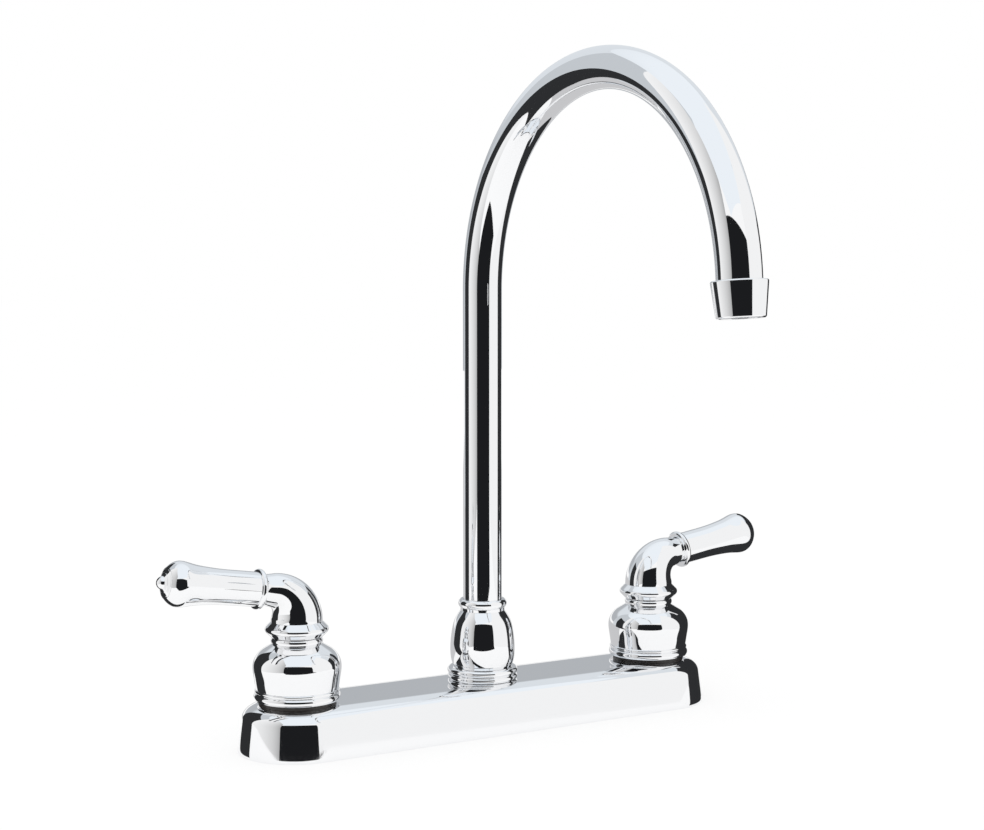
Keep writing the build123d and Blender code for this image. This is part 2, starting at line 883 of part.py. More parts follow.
centre_pieces = {
    "deck_plate": deck_plate(),
    "deck_gasket": deck_gasket(),
    "centre_body": centre_body(),
    "spout_base_ring": spout_base_ring(),
    "spout_nut": spout_nut(),
    "bearing_washer": bearing_washer(),
    "spout_stem": spout_stem(),
    "spout_o_rings": spout_o_rings(),
    "retaining_ring": retaining_ring(),
    "spout_tube": spout_tube(),
    "aerator_adapter": aerator_adapter(),
    "aerator_housing": aerator_housing(),
    "aerator_washer": aerator_washer(),
    "aerator_insert": aerator_insert(),
    "aerator_screen": aerator_screen(),
}

pieces = dict(centre_pieces)
for name, piece in side_pieces.items():
    cold = Pos(handle_x, 0, 0) * piece
    pieces["cold_" + name] = cold
    pieces["hot_" + name] = mirror(cold, about=Plane.YZ)

for name, piece in pieces.items():
    piece.label = name
    export_step(piece, "parts/" + name + ".step")
print(len(pieces), "pieces written")
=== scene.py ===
"""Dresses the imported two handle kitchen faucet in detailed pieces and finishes.

Everything is in metres, in the frame of the CAD model: Z is up, +X runs along
the deck plate towards the cold handle and -Y points at the user.
"""

import json
from math import ceil, cos, pi, radians, sin, tan

import bmesh
import bpy
import numpy as np
from bpy.props import FloatProperty, FloatVectorProperty, IntProperty, PointerProperty
from bpy.types import Operator, Panel, PropertyGroup
from mathutils import Matrix, Vector
from mathutils.bvhtree import BVHTree

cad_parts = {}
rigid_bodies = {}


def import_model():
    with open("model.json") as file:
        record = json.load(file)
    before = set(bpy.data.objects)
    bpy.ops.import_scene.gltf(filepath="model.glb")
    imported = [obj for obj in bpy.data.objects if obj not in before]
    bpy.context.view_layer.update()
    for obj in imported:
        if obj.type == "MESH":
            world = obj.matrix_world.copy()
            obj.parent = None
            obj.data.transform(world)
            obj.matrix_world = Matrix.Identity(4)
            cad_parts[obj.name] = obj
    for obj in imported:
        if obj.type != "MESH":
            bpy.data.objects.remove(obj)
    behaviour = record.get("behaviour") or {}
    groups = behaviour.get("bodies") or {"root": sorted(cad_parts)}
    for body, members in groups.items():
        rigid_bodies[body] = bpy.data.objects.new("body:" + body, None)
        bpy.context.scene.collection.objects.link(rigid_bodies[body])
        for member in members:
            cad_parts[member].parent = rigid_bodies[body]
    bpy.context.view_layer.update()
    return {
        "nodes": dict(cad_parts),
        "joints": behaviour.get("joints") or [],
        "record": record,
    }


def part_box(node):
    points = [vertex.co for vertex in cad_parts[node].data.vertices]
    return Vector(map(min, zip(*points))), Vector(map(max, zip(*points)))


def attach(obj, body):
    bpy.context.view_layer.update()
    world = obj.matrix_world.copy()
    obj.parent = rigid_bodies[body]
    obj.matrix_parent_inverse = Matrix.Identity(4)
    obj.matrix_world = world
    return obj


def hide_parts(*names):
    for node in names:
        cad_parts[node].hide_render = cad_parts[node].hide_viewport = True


bl_info = {
    "name": "Two handle kitchen faucet",
    "version": (1, 0, 0),
    "blender": (4, 5, 0),
    "location": "View3D > Sidebar > Faucet",
    "description": "Detailed pieces, finishes and a studio for a two handle kitchen faucet",
    "category": "Object",
}

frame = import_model()

MM = 0.001
SIDES = ("hot", "cold")
pivots = {joint["child"]: Vector(joint["pos_m"]) for joint in frame["joints"]}
deck_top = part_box("deck_plate")[1].z
bell_low, bell_top = (corner.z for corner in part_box("cold_bell"))
hub_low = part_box("cold_handle_hub")[0].z
ring_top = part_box("spout_base_ring")[1].z
nut_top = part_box("spout_nut")[1].z
tube_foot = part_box("spout_tube")[0].z
handle_x = pivots["cold_handle"].x


# ================================================================ sizes and colours
def length(name, description, mm):
    """A length that the user may change; its default is given in millimetres."""
    return FloatProperty(
        name=name, description=description, default=mm * MM, min=0.0, unit="LENGTH", precision=5
    )


def turn(name, description, degrees):
    """An angle that the user may change; its default is given in degrees."""
    return FloatProperty(
        name=name,
        description=description,
        default=radians(degrees),
        subtype="ANGLE",
        unit="ROTATION",
    )


def count(name, description, default, least):
    """A number of repeats that the user may change."""
    return IntProperty(name=name, description=description, default=default, min=least)


def colour(name, description, default):
    """A linear colour that the user may change."""
    return FloatVectorProperty(
        name=name, description=description, default=default, min=0.0, max=1.0, subtype="COLOR"
    )


class DeckSizes(PropertyGroup):
    """Sizes of the chrome deck cover."""

    depth: length("Depth", "Depth of the plate at its foot, with half round ends", 56.6)
    draft: turn("Draft", "How far the side walls lean in", 7.6)
    crown_reach: length("Crown reach", "Width of the rounded border of the top", 12.0)
    crown_drop: length("Crown drop", "How far the border falls to the walls", 6.6)
    wall: length("Wall", "Thickness of the cover", 2.0)
    soft: length("Soft edge", "Size of the rounding of the foot and of the holes", 0.3)
    valve_hole: length("Valve hole", "Radius of the hole for each valve", 13.35)
    spout_hole: length("Spout hole", "Radius of the hole for the spout's post", 12.35)


class BellSizes(PropertyGroup):
    """Sizes of the bell shaped covers and of the rings that they stand on."""

    seat_radius: length("Seat ring radius", "Outside radius of the dark seat ring", 18.3)
    seat_bulge: length("Seat ring bulge", "How far the seat ring's side swells out", 0.15)
    bore: length("Bore", "Radius of the hole in the foot", 13.0)
    foot_edge: length("Foot edge radius", "Radius of the foot's lower edge", 19.85)
    foot: length("Foot radius", "Radius over the foot's large ridge", 20.4)
    foot_height: length("Foot height", "Height of the foot's large ridge", 3.4)
    ring: length("Ring radius", "Radius over the small ridge on the foot", 19.95)
    ring_height: length("Ring height", "Height of the small ridge", 1.7)
    groove: length("Groove radius", "Radius above and below the small ridge", 19.4)
    waist: length("Waist radius", "Radius above the foot", 19.6)
    waist_rise: length("Waist rise", "From the small ridge up to the waist", 1.2)
    belly: length("Belly radius", "Largest radius of the body", 20.75)
    belly_height: length("Belly height", "Height of the largest radius over the sink", 39.8)
    shoulder_height: length("Shoulder height", "Height where the neck starts", 50.7)
    neck: length("Neck radius", "Radius over the neck's ridge", 12.2)
    ridge: length("Ridge depth", "Depth of the grooves beside the neck's ridge", 0.55)
    wall: length("Wall", "Thickness of the cover", 1.8)
    web: length("Web", "Thickness of the bell's bottom", 2.6)


class HandleSizes(PropertyGroup):
    """Sizes of the handles: hub, collar, lever and end button."""

    foot: length("Foot radius", "Radius of the hub's lower face", 12.2)
    bead: length("Bead radius", "Largest radius of the hub's bead", 14.95)
    bead_height: length("Bead height", "Height of the hub's bead", 6.85)
    bead_slope: length("Bead slope", "Height of the slopes below and above its rim", 2.0)
    overhang: length("Bead overhang", "How far the bead's top stands out", 0.3)
    hub: length("Hub radius", "Radius of the hub's upright", 12.1)
    recess: length("Recess radius", "Radius of the recess in the hub's foot", 10.0)
    recess_depth: length("Recess depth", "Depth of the recess in the hub's foot", 2.0)
    stem_hole: length("Stem hole", "Half the width of the square hole for the stem", 3.18)
    stem_hole_top: length("Stem hole top", "Height over the sink where that hole ends", 66.03)
    screw: length("Screw hole", "Radius of the set screw's hole", 2.0)
    screw_depth: length("Screw hole depth", "Depth of the set screw's hole", 7.0)
    screw_edge: length("Screw hole edge", "Chamfer at the hole's mouth", 0.15)
    screw_height: length("Screw height", "Height of the set screw over the sink", 63.4)
    screw_back: length("Screw place", "From the handle's axis back to the hole's mouth", 10.2)
    neck: length("Elbow end radius", "Radius of the elbow where it meets the collar", 7.0)
    elbow_start: length("Elbow start", "Height over the sink where the elbow begins", 62.7)
    elbow_radius: length("Elbow radius", "Bend radius of the elbow", 14.0)
    elbow_reach: length("Elbow reach", "Straight run after the bend", 6.6)
    tilt: turn("Lever tilt", "How far the lever rises outwards", 8.6)
    collar: length("Collar radius", "Outside radius of the collar", 9.5)
    collar_width: length("Collar width", "Width of the collar along the lever", 2.6)
    stud: length("Stud radius", "Radius of the stud through hub, collar and lever", 2.5)
    stud_depth: length("Stud depth", "How deep the stud goes into the hub", 7.7)
    lever_start: length("Lever start radius", "Radius of the lever at its collar", 8.1)
    lever_middle: length("Lever middle radius", "Radius of the lever half way", 8.15)
    ball: length("Ball radius", "Largest radius near the lever's end", 10.55)
    ball_at: length("Ball place", "From the collar's middle to the ball's middle", 39.2)
    ball_end: length("Ball end length", "From the ball's middle to its end cap", 6.3)
    end_radius: length("End radius", "Radius where the ball meets its end cap", 7.1)
    button: length("Button radius", "Radius of the small round button", 3.1)
    button_at: length("Button place", "From the collar's middle to the button's middle", 46.9)
    button_neck: turn("Button neck", "Angle at which the button leaves its cap", 5.0)
    cap_step: length("Cap step", "Height of each step on the end cap", 0.1)
    plug: length("Plug radius", "Radius of the cap's plug in the lever", 4.0)
    plug_length: length("Plug length", "Length of the cap's plug", 6.65)
    plug_hole: length("Plug hole", "Depth of the plug's hole in the lever", 7.0)


class MountSizes(PropertyGroup):
    """Sizes of the bead ring and the vase shaped nut under the spout."""

    bead: length("Bead radius", "Radius of the lower bead", 17.3)
    bead_height: length("Bead height", "Height of the lower bead", 3.0)
    groove: length("Bead groove", "Depth of the groove between the beads", 0.9)
    upper_bead: length("Upper bead radius", "Radius of the upper bead", 17.4)
    ring_top: length("Ring top radius", "Radius of the ring's top edge", 15.9)
    bore: length("Bore", "Radius of the hole for the post", 12.0)
    nut_foot: length("Nut foot radius", "Radius of the nut's foot", 14.45)
    nut_swell: length("Nut swell", "How much wider the nut is a third of the way up", 0.95)
    nut_belly: length("Nut belly radius", "Largest radius of the nut", 15.95)
    nut_belly_height: length("Nut belly height", "Height of the largest radius", 38.3)
    nut_waist: length("Nut waist radius", "Radius under the nut's collar", 10.9)
    nut_waist_height: length("Nut waist height", "Height of the straight waist", 1.4)
    nut_collar: length("Nut collar radius", "Radius of the nut's collar", 12.0)
    nut_collar_height: length("Nut collar height", "Height of the nut's collar", 4.2)
    nut_collar_round: length("Nut collar round", "How far the collar's side swells out", 1.2)
    nut_neck: length("Nut neck", "Radius of the hole for the tube", 9.585)
    nut_shoulder: length("Nut shoulder", "Height over the sink where that hole starts", 41.6)


class SpoutSizes(PropertyGroup):
    """Sizes of the bent tube and of the aerator at its end."""

    tube: length("Tube radius", "Outside radius of the tube", 9.525)
    tube_wall: length("Tube wall", "Wall thickness of the tube", 1.2)
    bend_height: length("Bend height", "Height over the sink where the bend starts", 214.5)
    bend_radius: length("Bend radius", "Radius of the bend's centre line", 98.8)
    bend_angle: turn("Bend angle", "Angle that the tube bends through", 175.0)
    tip: length("Tip length", "Straight run after the bend", 4.0)
    tube_rings: count("Tube rings", "Number of rings along the tube", 300, 32)
    tube_sides: count("Tube sides", "Number of sides round the tube", 96, 12)
    aerator_top: length("Aerator top radius", "Radius of the housing's upper edge", 11.85)
    aerator_bottom: length("Aerator bottom radius", "Radius of the housing's lower edge", 10.3)
    aerator_height: length("Aerator height", "Height of the housing", 15.3)
    aerator_overlap: length("Aerator overlap", "How far the housing reaches up the tube", 1.2)
    aerator_edge: length("Aerator edge", "Bevel at the housing's two edges", 0.5)
    aerator_bore: length("Aerator bore", "Radius inside the housing", 10.13)
    aerator_ledge: length("Aerator ledge", "From the tube's end to the housing's ledge", 8.0)
    slip: length("Slip", "Gap between the housing and what it holds", 0.03)
    insert: length("Insert radius", "Radius of the jet former that shows", 8.8)
    insert_back: length("Insert back", "From the tube's end to the jet former's back", 7.0)
    insert_recess: length("Insert recess", "How far the jet former stays back", 0.9)
    jet: length("Jet radius", "Radius of each jet", 0.8)
    jet_pitch: length("Jet pitch", "Distance between rings of jets", 2.3)


class FinishColours(PropertyGroup):
    """Colours of the finishes."""

    chrome: colour("Chrome", "Bright chrome plate", (0.925, 0.93, 0.94))
    brass: colour("Brass", "Machined brass", (0.76, 0.58, 0.3))
    copper: colour("Copper", "Drawn copper", (0.78, 0.43, 0.29))
    steel: colour("Steel", "Stainless steel", (0.6, 0.6, 0.61))
    rubber: colour("Rubber", "Black seat rings and seals", (0.022, 0.018, 0.016))
    foam: colour("Foam", "Dark grey gasket foam", (0.055, 0.055, 0.06))
    nylon: colour("Nylon", "Natural nylon", (0.82, 0.8, 0.74))
    wing_nut: colour("Wing nut", "White moulded plastic", (0.86, 0.86, 0.84))
    jets: colour("Jet former", "Light grey moulded plastic", (0.62, 0.64, 0.66))
    ceramic: colour("Ceramic", "Lapped ceramic discs", (0.9, 0.89, 0.86))


class StudioSettings(PropertyGroup):
    """The white tent round the faucet, with its dark cards."""

    backdrop: colour("Backdrop", "Colour of the background", (1.0, 1.0, 1.0))
    rear_grey: colour("Rear card", "Colour of the lower card behind", (0.455, 0.475, 0.5))
    # painted shade: a grey glow that stands in for the white floor behind the faucet lying in
    # shade, as the chrome mirrors it
    floor_shade_grey: colour("Floor behind", "Floor behind the faucet in the chrome", (0.6, 0.6, 0.61))
    tent_grey: colour("Tent", "Colour of the tent beyond the cards", (0.7, 0.73, 0.76))
    top_grey: colour("High cards", "Colour high behind and overhead", (0.74, 0.78, 0.82))
    dark: colour("Front card", "Colour of the dark card in front", (0.012, 0.0125, 0.014))
    dark_side: colour("Side cards", "Colour of the dark side cards", (0.028, 0.029, 0.031))
    softbox: FloatProperty(
        name="Softbox", description="Brightness of the white panels in the chrome", default=0.95
    )
    key_power: FloatProperty(
        name="Key lamp", description="Power of the soft lamp", default=3.0, unit="POWER"
    )


class FaucetSettings(PropertyGroup):
    """All the settings of the faucet."""

    deck: PointerProperty(type=DeckSizes)
    bell: PointerProperty(type=BellSizes)
    handle: PointerProperty(type=HandleSizes)
    mount: PointerProperty(type=MountSizes)
    spout: PointerProperty(type=SpoutSizes)
    finish: PointerProperty(type=FinishColours)
    studio: PointerProperty(type=StudioSettings)


# ================================================================ outlines
TURNED_SIDES = 128  # sides of a turned piece
CURVE_STEP = 0.4 * MM  # distance between points of a smooth curve
ARC_STEP = radians(9)
HARD_CORNER = radians(14)  # corners sharper than this are rounded
CORNER_STEPS = 5
CROWN_STEPS = 28  # points along the deck's rounded border
HOLE_SIDES = 96  # sides of the holes in the deck
ELBOW_STEPS = 56  # rings along a hub's elbow


def smooth_run(knots):
    """Points along the natural cubic spline through the knots."""
    knots = np.array([tuple(knot) for knot in knots])
    spans = np.linalg.norm(np.diff(knots, axis=0), axis=1)
    at = np.concatenate(([0], np.cumsum(spans)))
    last = len(knots) - 1
    system = np.eye(last + 1)
    slopes = np.zeros_like(knots)
    for k in range(1, last):
        system[k, k - 1 : k + 2] = spans[k - 1], 2 * (spans[k - 1] + spans[k]), spans[k]
        slopes[k] = 6 * (
            (knots[k + 1] - knots[k]) / spans[k] - (knots[k] - knots[k - 1]) / spans[k - 1]
        )
    bends = np.linalg.solve(system, slopes)
    run = []
    for place in np.linspace(0, at[-1], ceil(at[-1] / CURVE_STEP) + 1):
        k = min(int(np.searchsorted(at, place, side="right")) - 1, last - 1)
        up = (place - at[k]) / spans[k]
        down = 1 - up
        pull = (down**3 - down) * bends[k] + (up**3 - up) * bends[k + 1]
        run.append(Vector(down * knots[k] + up * knots[k + 1] + pull * spans[k] ** 2 / 6))
    return run


def arc_run(start, middle, end):
    """Points along the arc through three points."""
    a, b, c = (complex(*point) for point in (start, middle, end))
    ratio = (c - a) / (b - a)
    centre = a + (b - a) * (ratio - abs(ratio) ** 2) / (2j * ratio.imag)
    to_middle, to_end = (np.angle((point - centre) / (a - centre)) for point in (b, c))
    if to_end * to_middle < 0 or abs(to_end) < abs(to_middle):
        to_end += 2 * pi if to_middle > 0 else -2 * pi
    steps = max(4, ceil(abs(to_end) / ARC_STEP))
    points = [centre + (a - centre) * np.exp(1j * to_end * k / steps) for k in range(steps + 1)]
    return [Vector((point.real, point.imag)) for point in points]


def trimmed(run, lead, tail):
    """The run, shorter by lead at its start and by tail at its end."""
    for reach in (lead, tail):
        while reach > 0:
            span = (run[1] - run[0]).length
            if span > reach:
                run = [run[0].lerp(run[1], reach / span)] + run[1:]
                break
            reach -= span
            run = run[1:]
        run = run[::-1]
    return run


def outline(start, *steps, rounding=0.25 * MM, closed=True):
    """Outline of a turned piece as (radius, height) points, its hard corners rounded.

    A step is a point for a straight run, a (middle, end) pair for an arc, or
    a list of points for a smooth curve through them.
    """
    start = Vector(start)
    runs, here = [], start
    for step in steps:
        if isinstance(step, list):
            run = smooth_run([here, *step])
        elif isinstance(step[0], tuple):
            run = arc_run(here, *step)
        else:
            run = [here, Vector(step)]
        runs.append(run)
        here = run[-1]
    if closed:
        runs.append([here, start])
    lengths = [sum((b - a).length for a, b in zip(run, run[1:])) for run in runs]
    cuts = [0.0] * len(runs)
    for k in range(0 if closed else 1, len(runs)):
        before, after = runs[k - 1], runs[k]
        bend = (before[-1] - before[-2]).angle(after[1] - after[0])
        if bend > HARD_CORNER:
            cuts[k] = min(rounding * tan(bend / 2), 0.4 * lengths[k - 1], 0.4 * lengths[k])
    points = []
    for k, run in enumerate(runs):
        tail = cuts[(k + 1) % len(runs)]
        piece = trimmed(run, cuts[k], tail)
        if cuts[k]:
            corner = run[0]
            before = trimmed(runs[k - 1], 0, cuts[k])[-1]
            for step in range(1, CORNER_STEPS):
                part = step / CORNER_STEPS
                points.append(before.lerp(corner, part).lerp(corner.lerp(piece[0], part), part))
            points.append(piece[0])
        elif not points:
            points.append(piece[0])
        points += piece[1:]
    if closed and (points[-1] - points[0]).length < 1e-9:
        points.pop()
    return points


def ridges(radius, depth, low, high, number):
    """Steps that go up a stack of rounded ridges on a turned piece."""
    pitch = (high - low) / number
    feet = [low + k * pitch for k in range(number)]
    return [((radius, foot + pitch / 2), (radius - depth, foot + pitch)) for foot in feet]


# ================================================================ meshes
def circle(place, radius, sides=TURNED_SIDES):
    """Ring of points about the Z axis of a frame, or one point if it has no radius."""
    if radius < 1e-7:
        return [place.translation]
    turns = [2 * pi * k / sides for k in range(sides)]
    return [place @ Vector((radius * cos(t), radius * sin(t), 0)) for t in turns]


def square(place, half, sides=TURNED_SIDES):
    """Ring of points on a square about the Z axis of a frame."""
    turns = [2 * pi * k / sides for k in range(sides)]
    reaches = [half / max(abs(cos(t)), abs(sin(t))) for t in turns]
    return [place @ Vector((r * cos(t), r * sin(t), 0)) for r, t in zip(reaches, turns)]


def height_frame(height):
    """Frame at a height on the Z axis."""
    return Matrix.Translation((0, 0, height))


def turned(points):
    """Rings of a turned piece from its (radius, height) points."""
    return [circle(height_frame(height), radius) for radius, height in points]


def skin(rings, closed=True):
    """Mesh over rings of points; a ring of one point is a pole."""
    points, starts = [], []
    for ring in rings:
        starts.append(len(points))
        points += ring
    numbers = range(len(rings))
    faces = []
    for low, high in list(zip(numbers, numbers[1:])) + ([(numbers[-1], 0)] if closed else []):
        around = max(len(rings[low]), len(rings[high]))
        for k in range(around):
            after = (k + 1) % around
            corners = [
                starts[low] + k % len(rings[low]),
                starts[low] + after % len(rings[low]),
                starts[high] + after % len(rings[high]),
                starts[high] + k % len(rings[high]),
            ]
            faces.append(list(dict.fromkeys(corners)))
    mesh = bpy.data.meshes.new("skin")
    mesh.from_pydata(points, [], faces)
    return mesh


def placed(mesh, place):
    """The mesh, moved to a frame, its faces still outwards where the frame mirrors it."""
    mesh.transform(place)
    if place.determinant() < 0:
        mesh.flip_normals()
    return mesh


def side_frame(side):
    """Frame of one side: Z on its handle's axis, X outwards."""
    outwards = 1 if side == "cold" else -1
    return Matrix.Translation((outwards * handle_x, 0, 0)) @ Matrix.Diagonal((outwards, 1, 1, 1))


def lever_frame(sizes):
    """Frame at the middle of a lever's collar, with Z along the lever."""
    bend = pi / 2 - sizes.tilt
    along = sizes.elbow_reach + sizes.collar_width / 2
    x = sizes.elbow_radius * (1 - cos(bend)) + along * sin(bend)
    z = sizes.elbow_start + sizes.elbow_radius * sin(bend) + along * cos(bend)
    return Matrix.Translation((x, 0, z)) @ Matrix.Rotation(bend, 4, "Y")


def tip_frame(sizes):
    """Frame at the tube's open end, with Z pointing out of it."""
    bend = sizes.bend_angle
    y = -sizes.bend_radius * (1 - cos(bend)) - sizes.tip * sin(bend)
    z = sizes.bend_height + sizes.bend_radius * sin(bend) + sizes.tip * cos(bend)
    return Matrix.Translation((0, y, z)) @ Matrix.Rotation(bend, 4, "X")


def weigh_normals(mesh):
    """Shades a mesh smooth, with large faces counting most at their corners, so that
    flats stay flat right up to their rounded edges."""
    faces = mesh.polygons
    faces.foreach_set("use_smooth", [True] * len(faces))
    normals, areas = np.empty(len(faces) * 3), np.empty(len(faces))
    corners, totals = np.empty(len(mesh.loops), int), np.empty(len(faces), int)
    faces.foreach_get("normal", normals)
    faces.foreach_get("area", areas)
    faces.foreach_get("loop_total", totals)
    mesh.loops.foreach_get("vertex_index", corners)
    pulls = normals.reshape(-1, 3) * areas[:, None]
    summed = np.zeros((len(mesh.vertices), 3))
    np.add.at(summed, corners, np.repeat(pulls, totals, axis=0))
    summed /= np.maximum(np.linalg.norm(summed, axis=1), 1e-20)[:, None]
    mesh.normals_split_custom_set_from_vertices(summed.tolist())


def add_piece(name, mesh, finish, body, nodes):
    """Adds a finished mesh to the scene in place of CAD nodes."""
    mesh.name = name
    mesh.materials.clear()
    mesh.materials.append(bpy.data.materials[finish])
    weigh_normals(mesh)
    piece = fresh(bpy.data.objects, name, mesh)
    bpy.context.scene.collection.objects.link(piece)
    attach(piece, body)
    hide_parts(*nodes)
    return piece


def fresh(store, name, *kind):
    """New datablock in place of any old one of the same name."""
    old = store.get(name)
    if old:
        store.remove(old)
    return store.new(name, *kind)


def slot_of(node):
    """The record's material slot of a CAD node."""
    parts = frame["record"]["subparts"]
    return next(part["material_slot"] for part in parts if part["node"] == node)


def drilled(mesh, place, radius, depth, chamfer):
    """Drills a blind round hole into a closed mesh, down the Z axis of a frame from above."""
    work = bmesh.new()
    work.from_mesh(mesh)
    surface = BVHTree.FromBMesh(work)
    inside = place.inverted()
    cleared = radius * 1.5  # the old faces go this far round the hole
    struck = []
    for face in work.faces:
        middle = inside @ face.calc_center_median()
        if middle.z > 0 and middle.xy.length < cleared:
            struck.append(face)
    bmesh.ops.delete(work, geom=struck, context="FACES")
    rim = {corner for edge in work.edges if edge.is_boundary for corner in edge.verts}
    rim = sorted(rim, key=lambda corner: np.arctan2(*(inside @ corner.co).yx))
    down = -(place.to_3x3().col[2]).normalized()

    def ring(size, drop):
        """New corners at a radius about the hole, a drop under the old surface."""
        corners = []
        for corner in rim:
            out = (inside @ corner.co).xy.normalized() * size
            start = place @ Vector((*out, 1))
            hit = surface.ray_cast(start, down)[0]
            corners.append(work.verts.new(hit + down * drop))
        return corners

    floor = place @ Vector((0, 0, -depth))
    rings = [rim, ring(radius + chamfer, 0), ring(radius, chamfer)]
    bottom = []
    for corner in rings[-1]:
        flat = inside @ corner.co
        flat.z = -depth
        bottom.append(work.verts.new(place @ flat))
    rings.append(bottom)
    for outer, inner in zip(rings, rings[1:]):
        for k in range(len(rim)):
            work.faces.new((outer[k - 1], outer[k], inner[k], inner[k - 1]))
    centre = work.verts.new(floor)
    for k in range(len(rim)):
        work.faces.new((bottom[k - 1], bottom[k], centre))
    bmesh.ops.recalc_face_normals(work, faces=work.faces)
    work.to_mesh(mesh)
    work.free()
    return mesh


# ================================================================ node trees
def add_node(tree, kind, inputs=None, **settings):
    """Adds a node; an input given a socket is linked, and any other value is set."""
    node = tree.nodes.new(kind)
    for name, value in settings.items():
        setattr(node, name, value)
    for name, value in (inputs or {}).items():
        if isinstance(value, bpy.types.NodeSocket):
            tree.links.new(value, node.inputs[name])
        else:
            node.inputs[name].default_value = value
    return node


def calculate(tree, operation, *values):
    """Output of a Math node."""
    return add_node(
        tree, "ShaderNodeMath", dict(enumerate(values)), operation=operation
    ).outputs[0]


def new_group(name, kind, inputs, outputs):
    """Node group with named sockets; inputs map a name to (socket kind, default)."""
    tree = fresh(bpy.data.node_groups, name, kind)
    for label, (socket, default) in inputs.items():
        made = tree.interface.new_socket(
            name=label, in_out="INPUT", socket_type="NodeSocket" + socket
        )
        if default is not None:
            made.default_value = default
    for label, socket in outputs.items():
        tree.interface.new_socket(
            name=label, in_out="OUTPUT", socket_type="NodeSocket" + socket
        )
    return tree, tree.nodes.new("NodeGroupInput"), tree.nodes.new("NodeGroupOutput")


def hand_out(tree, result, values):
    """Links a group's results to its named output sockets."""
    for name, value in values.items():
        tree.links.new(value, result.inputs[name])


def finish_shape(tree, geometry, material, result):
    """Ends a Geometry Nodes tree: instances made real, and the material set."""
    real = add_node(tree, "GeometryNodeRealizeInstances", {"Geometry": geometry})
    dressed = add_node(
        tree, "GeometryNodeSetMaterial", {"Geometry": real.outputs[0], "Material": material}
    )
    hand_out(tree, result, {"Geometry": dressed.outputs[0]})


def noise(tree, place, scale, detail, **inputs):
    """Value of a noise texture over a place."""
    values = {"Vector": place, "Scale": scale, "Detail": detail, **inputs}
    return add_node(tree, "ShaderNodeTexNoise", values).outputs["Fac"]


def shaded(tree, tint, shade):
    """Colour made lighter or darker by a factor."""
    values = {0: tint, "Scale": shade}
    return add_node(tree, "ShaderNodeVectorMath", values, operation="SCALE").outputs[0]


def grown(tree, values, modifiers=()):
    """Plain mesh that a Geometry Nodes tree makes with these input values."""
    carrier = bpy.data.objects.new("carrier", bpy.data.meshes.new("carrier"))
    bpy.context.scene.collection.objects.link(carrier)
    nodes = carrier.modifiers.new("shape", "NODES")
    nodes.node_group = tree
    for item in tree.interface.items_tree:
        if item.item_type == "SOCKET" and item.in_out == "INPUT" and item.name in values:
            nodes[item.identifier] = values[item.name]
    for kind, settings in modifiers:
        extra = carrier.modifiers.new(kind.lower(), kind)
        for name, value in settings.items():
            setattr(extra, name, value)
    evaluated = carrier.evaluated_get(bpy.context.evaluated_depsgraph_get())
    mesh = bpy.data.meshes.new_from_object(evaluated)
    carrier.modifiers.clear()
    bpy.data.objects.remove(carrier)
    return mesh


def tube_tree():
    """Geometry Nodes: a round tube swept up, over in one bend and out in a short tip."""
    tree, given, result = new_group(
        "spout_tube_shape",
        "GeometryNodeTree",
        {
            "Radius": ("Float", 9.5 * MM),
            "Foot": ("Float", 40 * MM),
            "Bend height": ("Float", 214.5 * MM),
            "Bend radius": ("Float", 98.8 * MM),
            "Bend angle": ("Float", radians(175)),
            "Tip": ("Float", 4 * MM),
            "Rings": ("Int", 300),
            "Sides": ("Int", 96),
            "Material": ("Material", None),
        },
        {"Geometry": "Geometry"},
    )
    inputs = given.outputs
    rise = calculate(tree, "SUBTRACT", inputs["Bend height"], inputs["Foot"])
    arc = calculate(tree, "MULTIPLY", inputs["Bend radius"], inputs["Bend angle"])
    run = calculate(tree, "ADD", rise, arc)
    total = calculate(tree, "ADD", run, inputs["Tip"])
    end = add_node(tree, "ShaderNodeCombineXYZ", {"Z": total})
    line = add_node(tree, "GeometryNodeCurvePrimitiveLine", {"End": end.outputs[0]})
    points = add_node(
        tree, "GeometryNodeResampleCurve", {"Curve": line.outputs[0], "Count": inputs["Rings"]}
    )
    along = add_node(tree, "GeometryNodeSplineParameter").outputs["Length"]
    climbed = calculate(tree, "MINIMUM", along, rise)
    bent = calculate(tree, "SUBTRACT", calculate(tree, "MINIMUM", along, run), climbed)
    bend = calculate(tree, "DIVIDE", bent, inputs["Bend radius"])
    beyond = calculate(tree, "MAXIMUM", calculate(tree, "SUBTRACT", along, run), 0.0)
    sine = calculate(tree, "SINE", bend)
    cosine = calculate(tree, "COSINE", bend)
    forward = calculate(
        tree,
        "ADD",
        calculate(
            tree, "MULTIPLY", inputs["Bend radius"], calculate(tree, "SUBTRACT", 1.0, cosine)
        ),
        calculate(tree, "MULTIPLY", beyond, sine),
    )
    up = calculate(
        tree,
        "ADD",
        calculate(tree, "MULTIPLY", inputs["Bend radius"], sine),
        calculate(tree, "MULTIPLY", beyond, cosine),
    )
    height = calculate(tree, "ADD", calculate(tree, "ADD", inputs["Foot"], climbed), up)
    place = add_node(
        tree,
        "ShaderNodeCombineXYZ",
        {"Y": calculate(tree, "MULTIPLY", forward, -1.0), "Z": height},
    )
    path = add_node(
        tree,
        "GeometryNodeSetPosition",
        {"Geometry": points.outputs[0], "Position": place.outputs[0]},
    )
    section = add_node(
        tree,
        "GeometryNodeCurvePrimitiveCircle",
        {"Resolution": inputs["Sides"], "Radius": inputs["Radius"]},
    )
    swept = add_node(
        tree,
        "GeometryNodeCurveToMesh",
        {"Curve": path.outputs[0], "Profile Curve": section.outputs[0]},
    )
    finish_shape(tree, swept.outputs[0], inputs["Material"], result)
    return tree


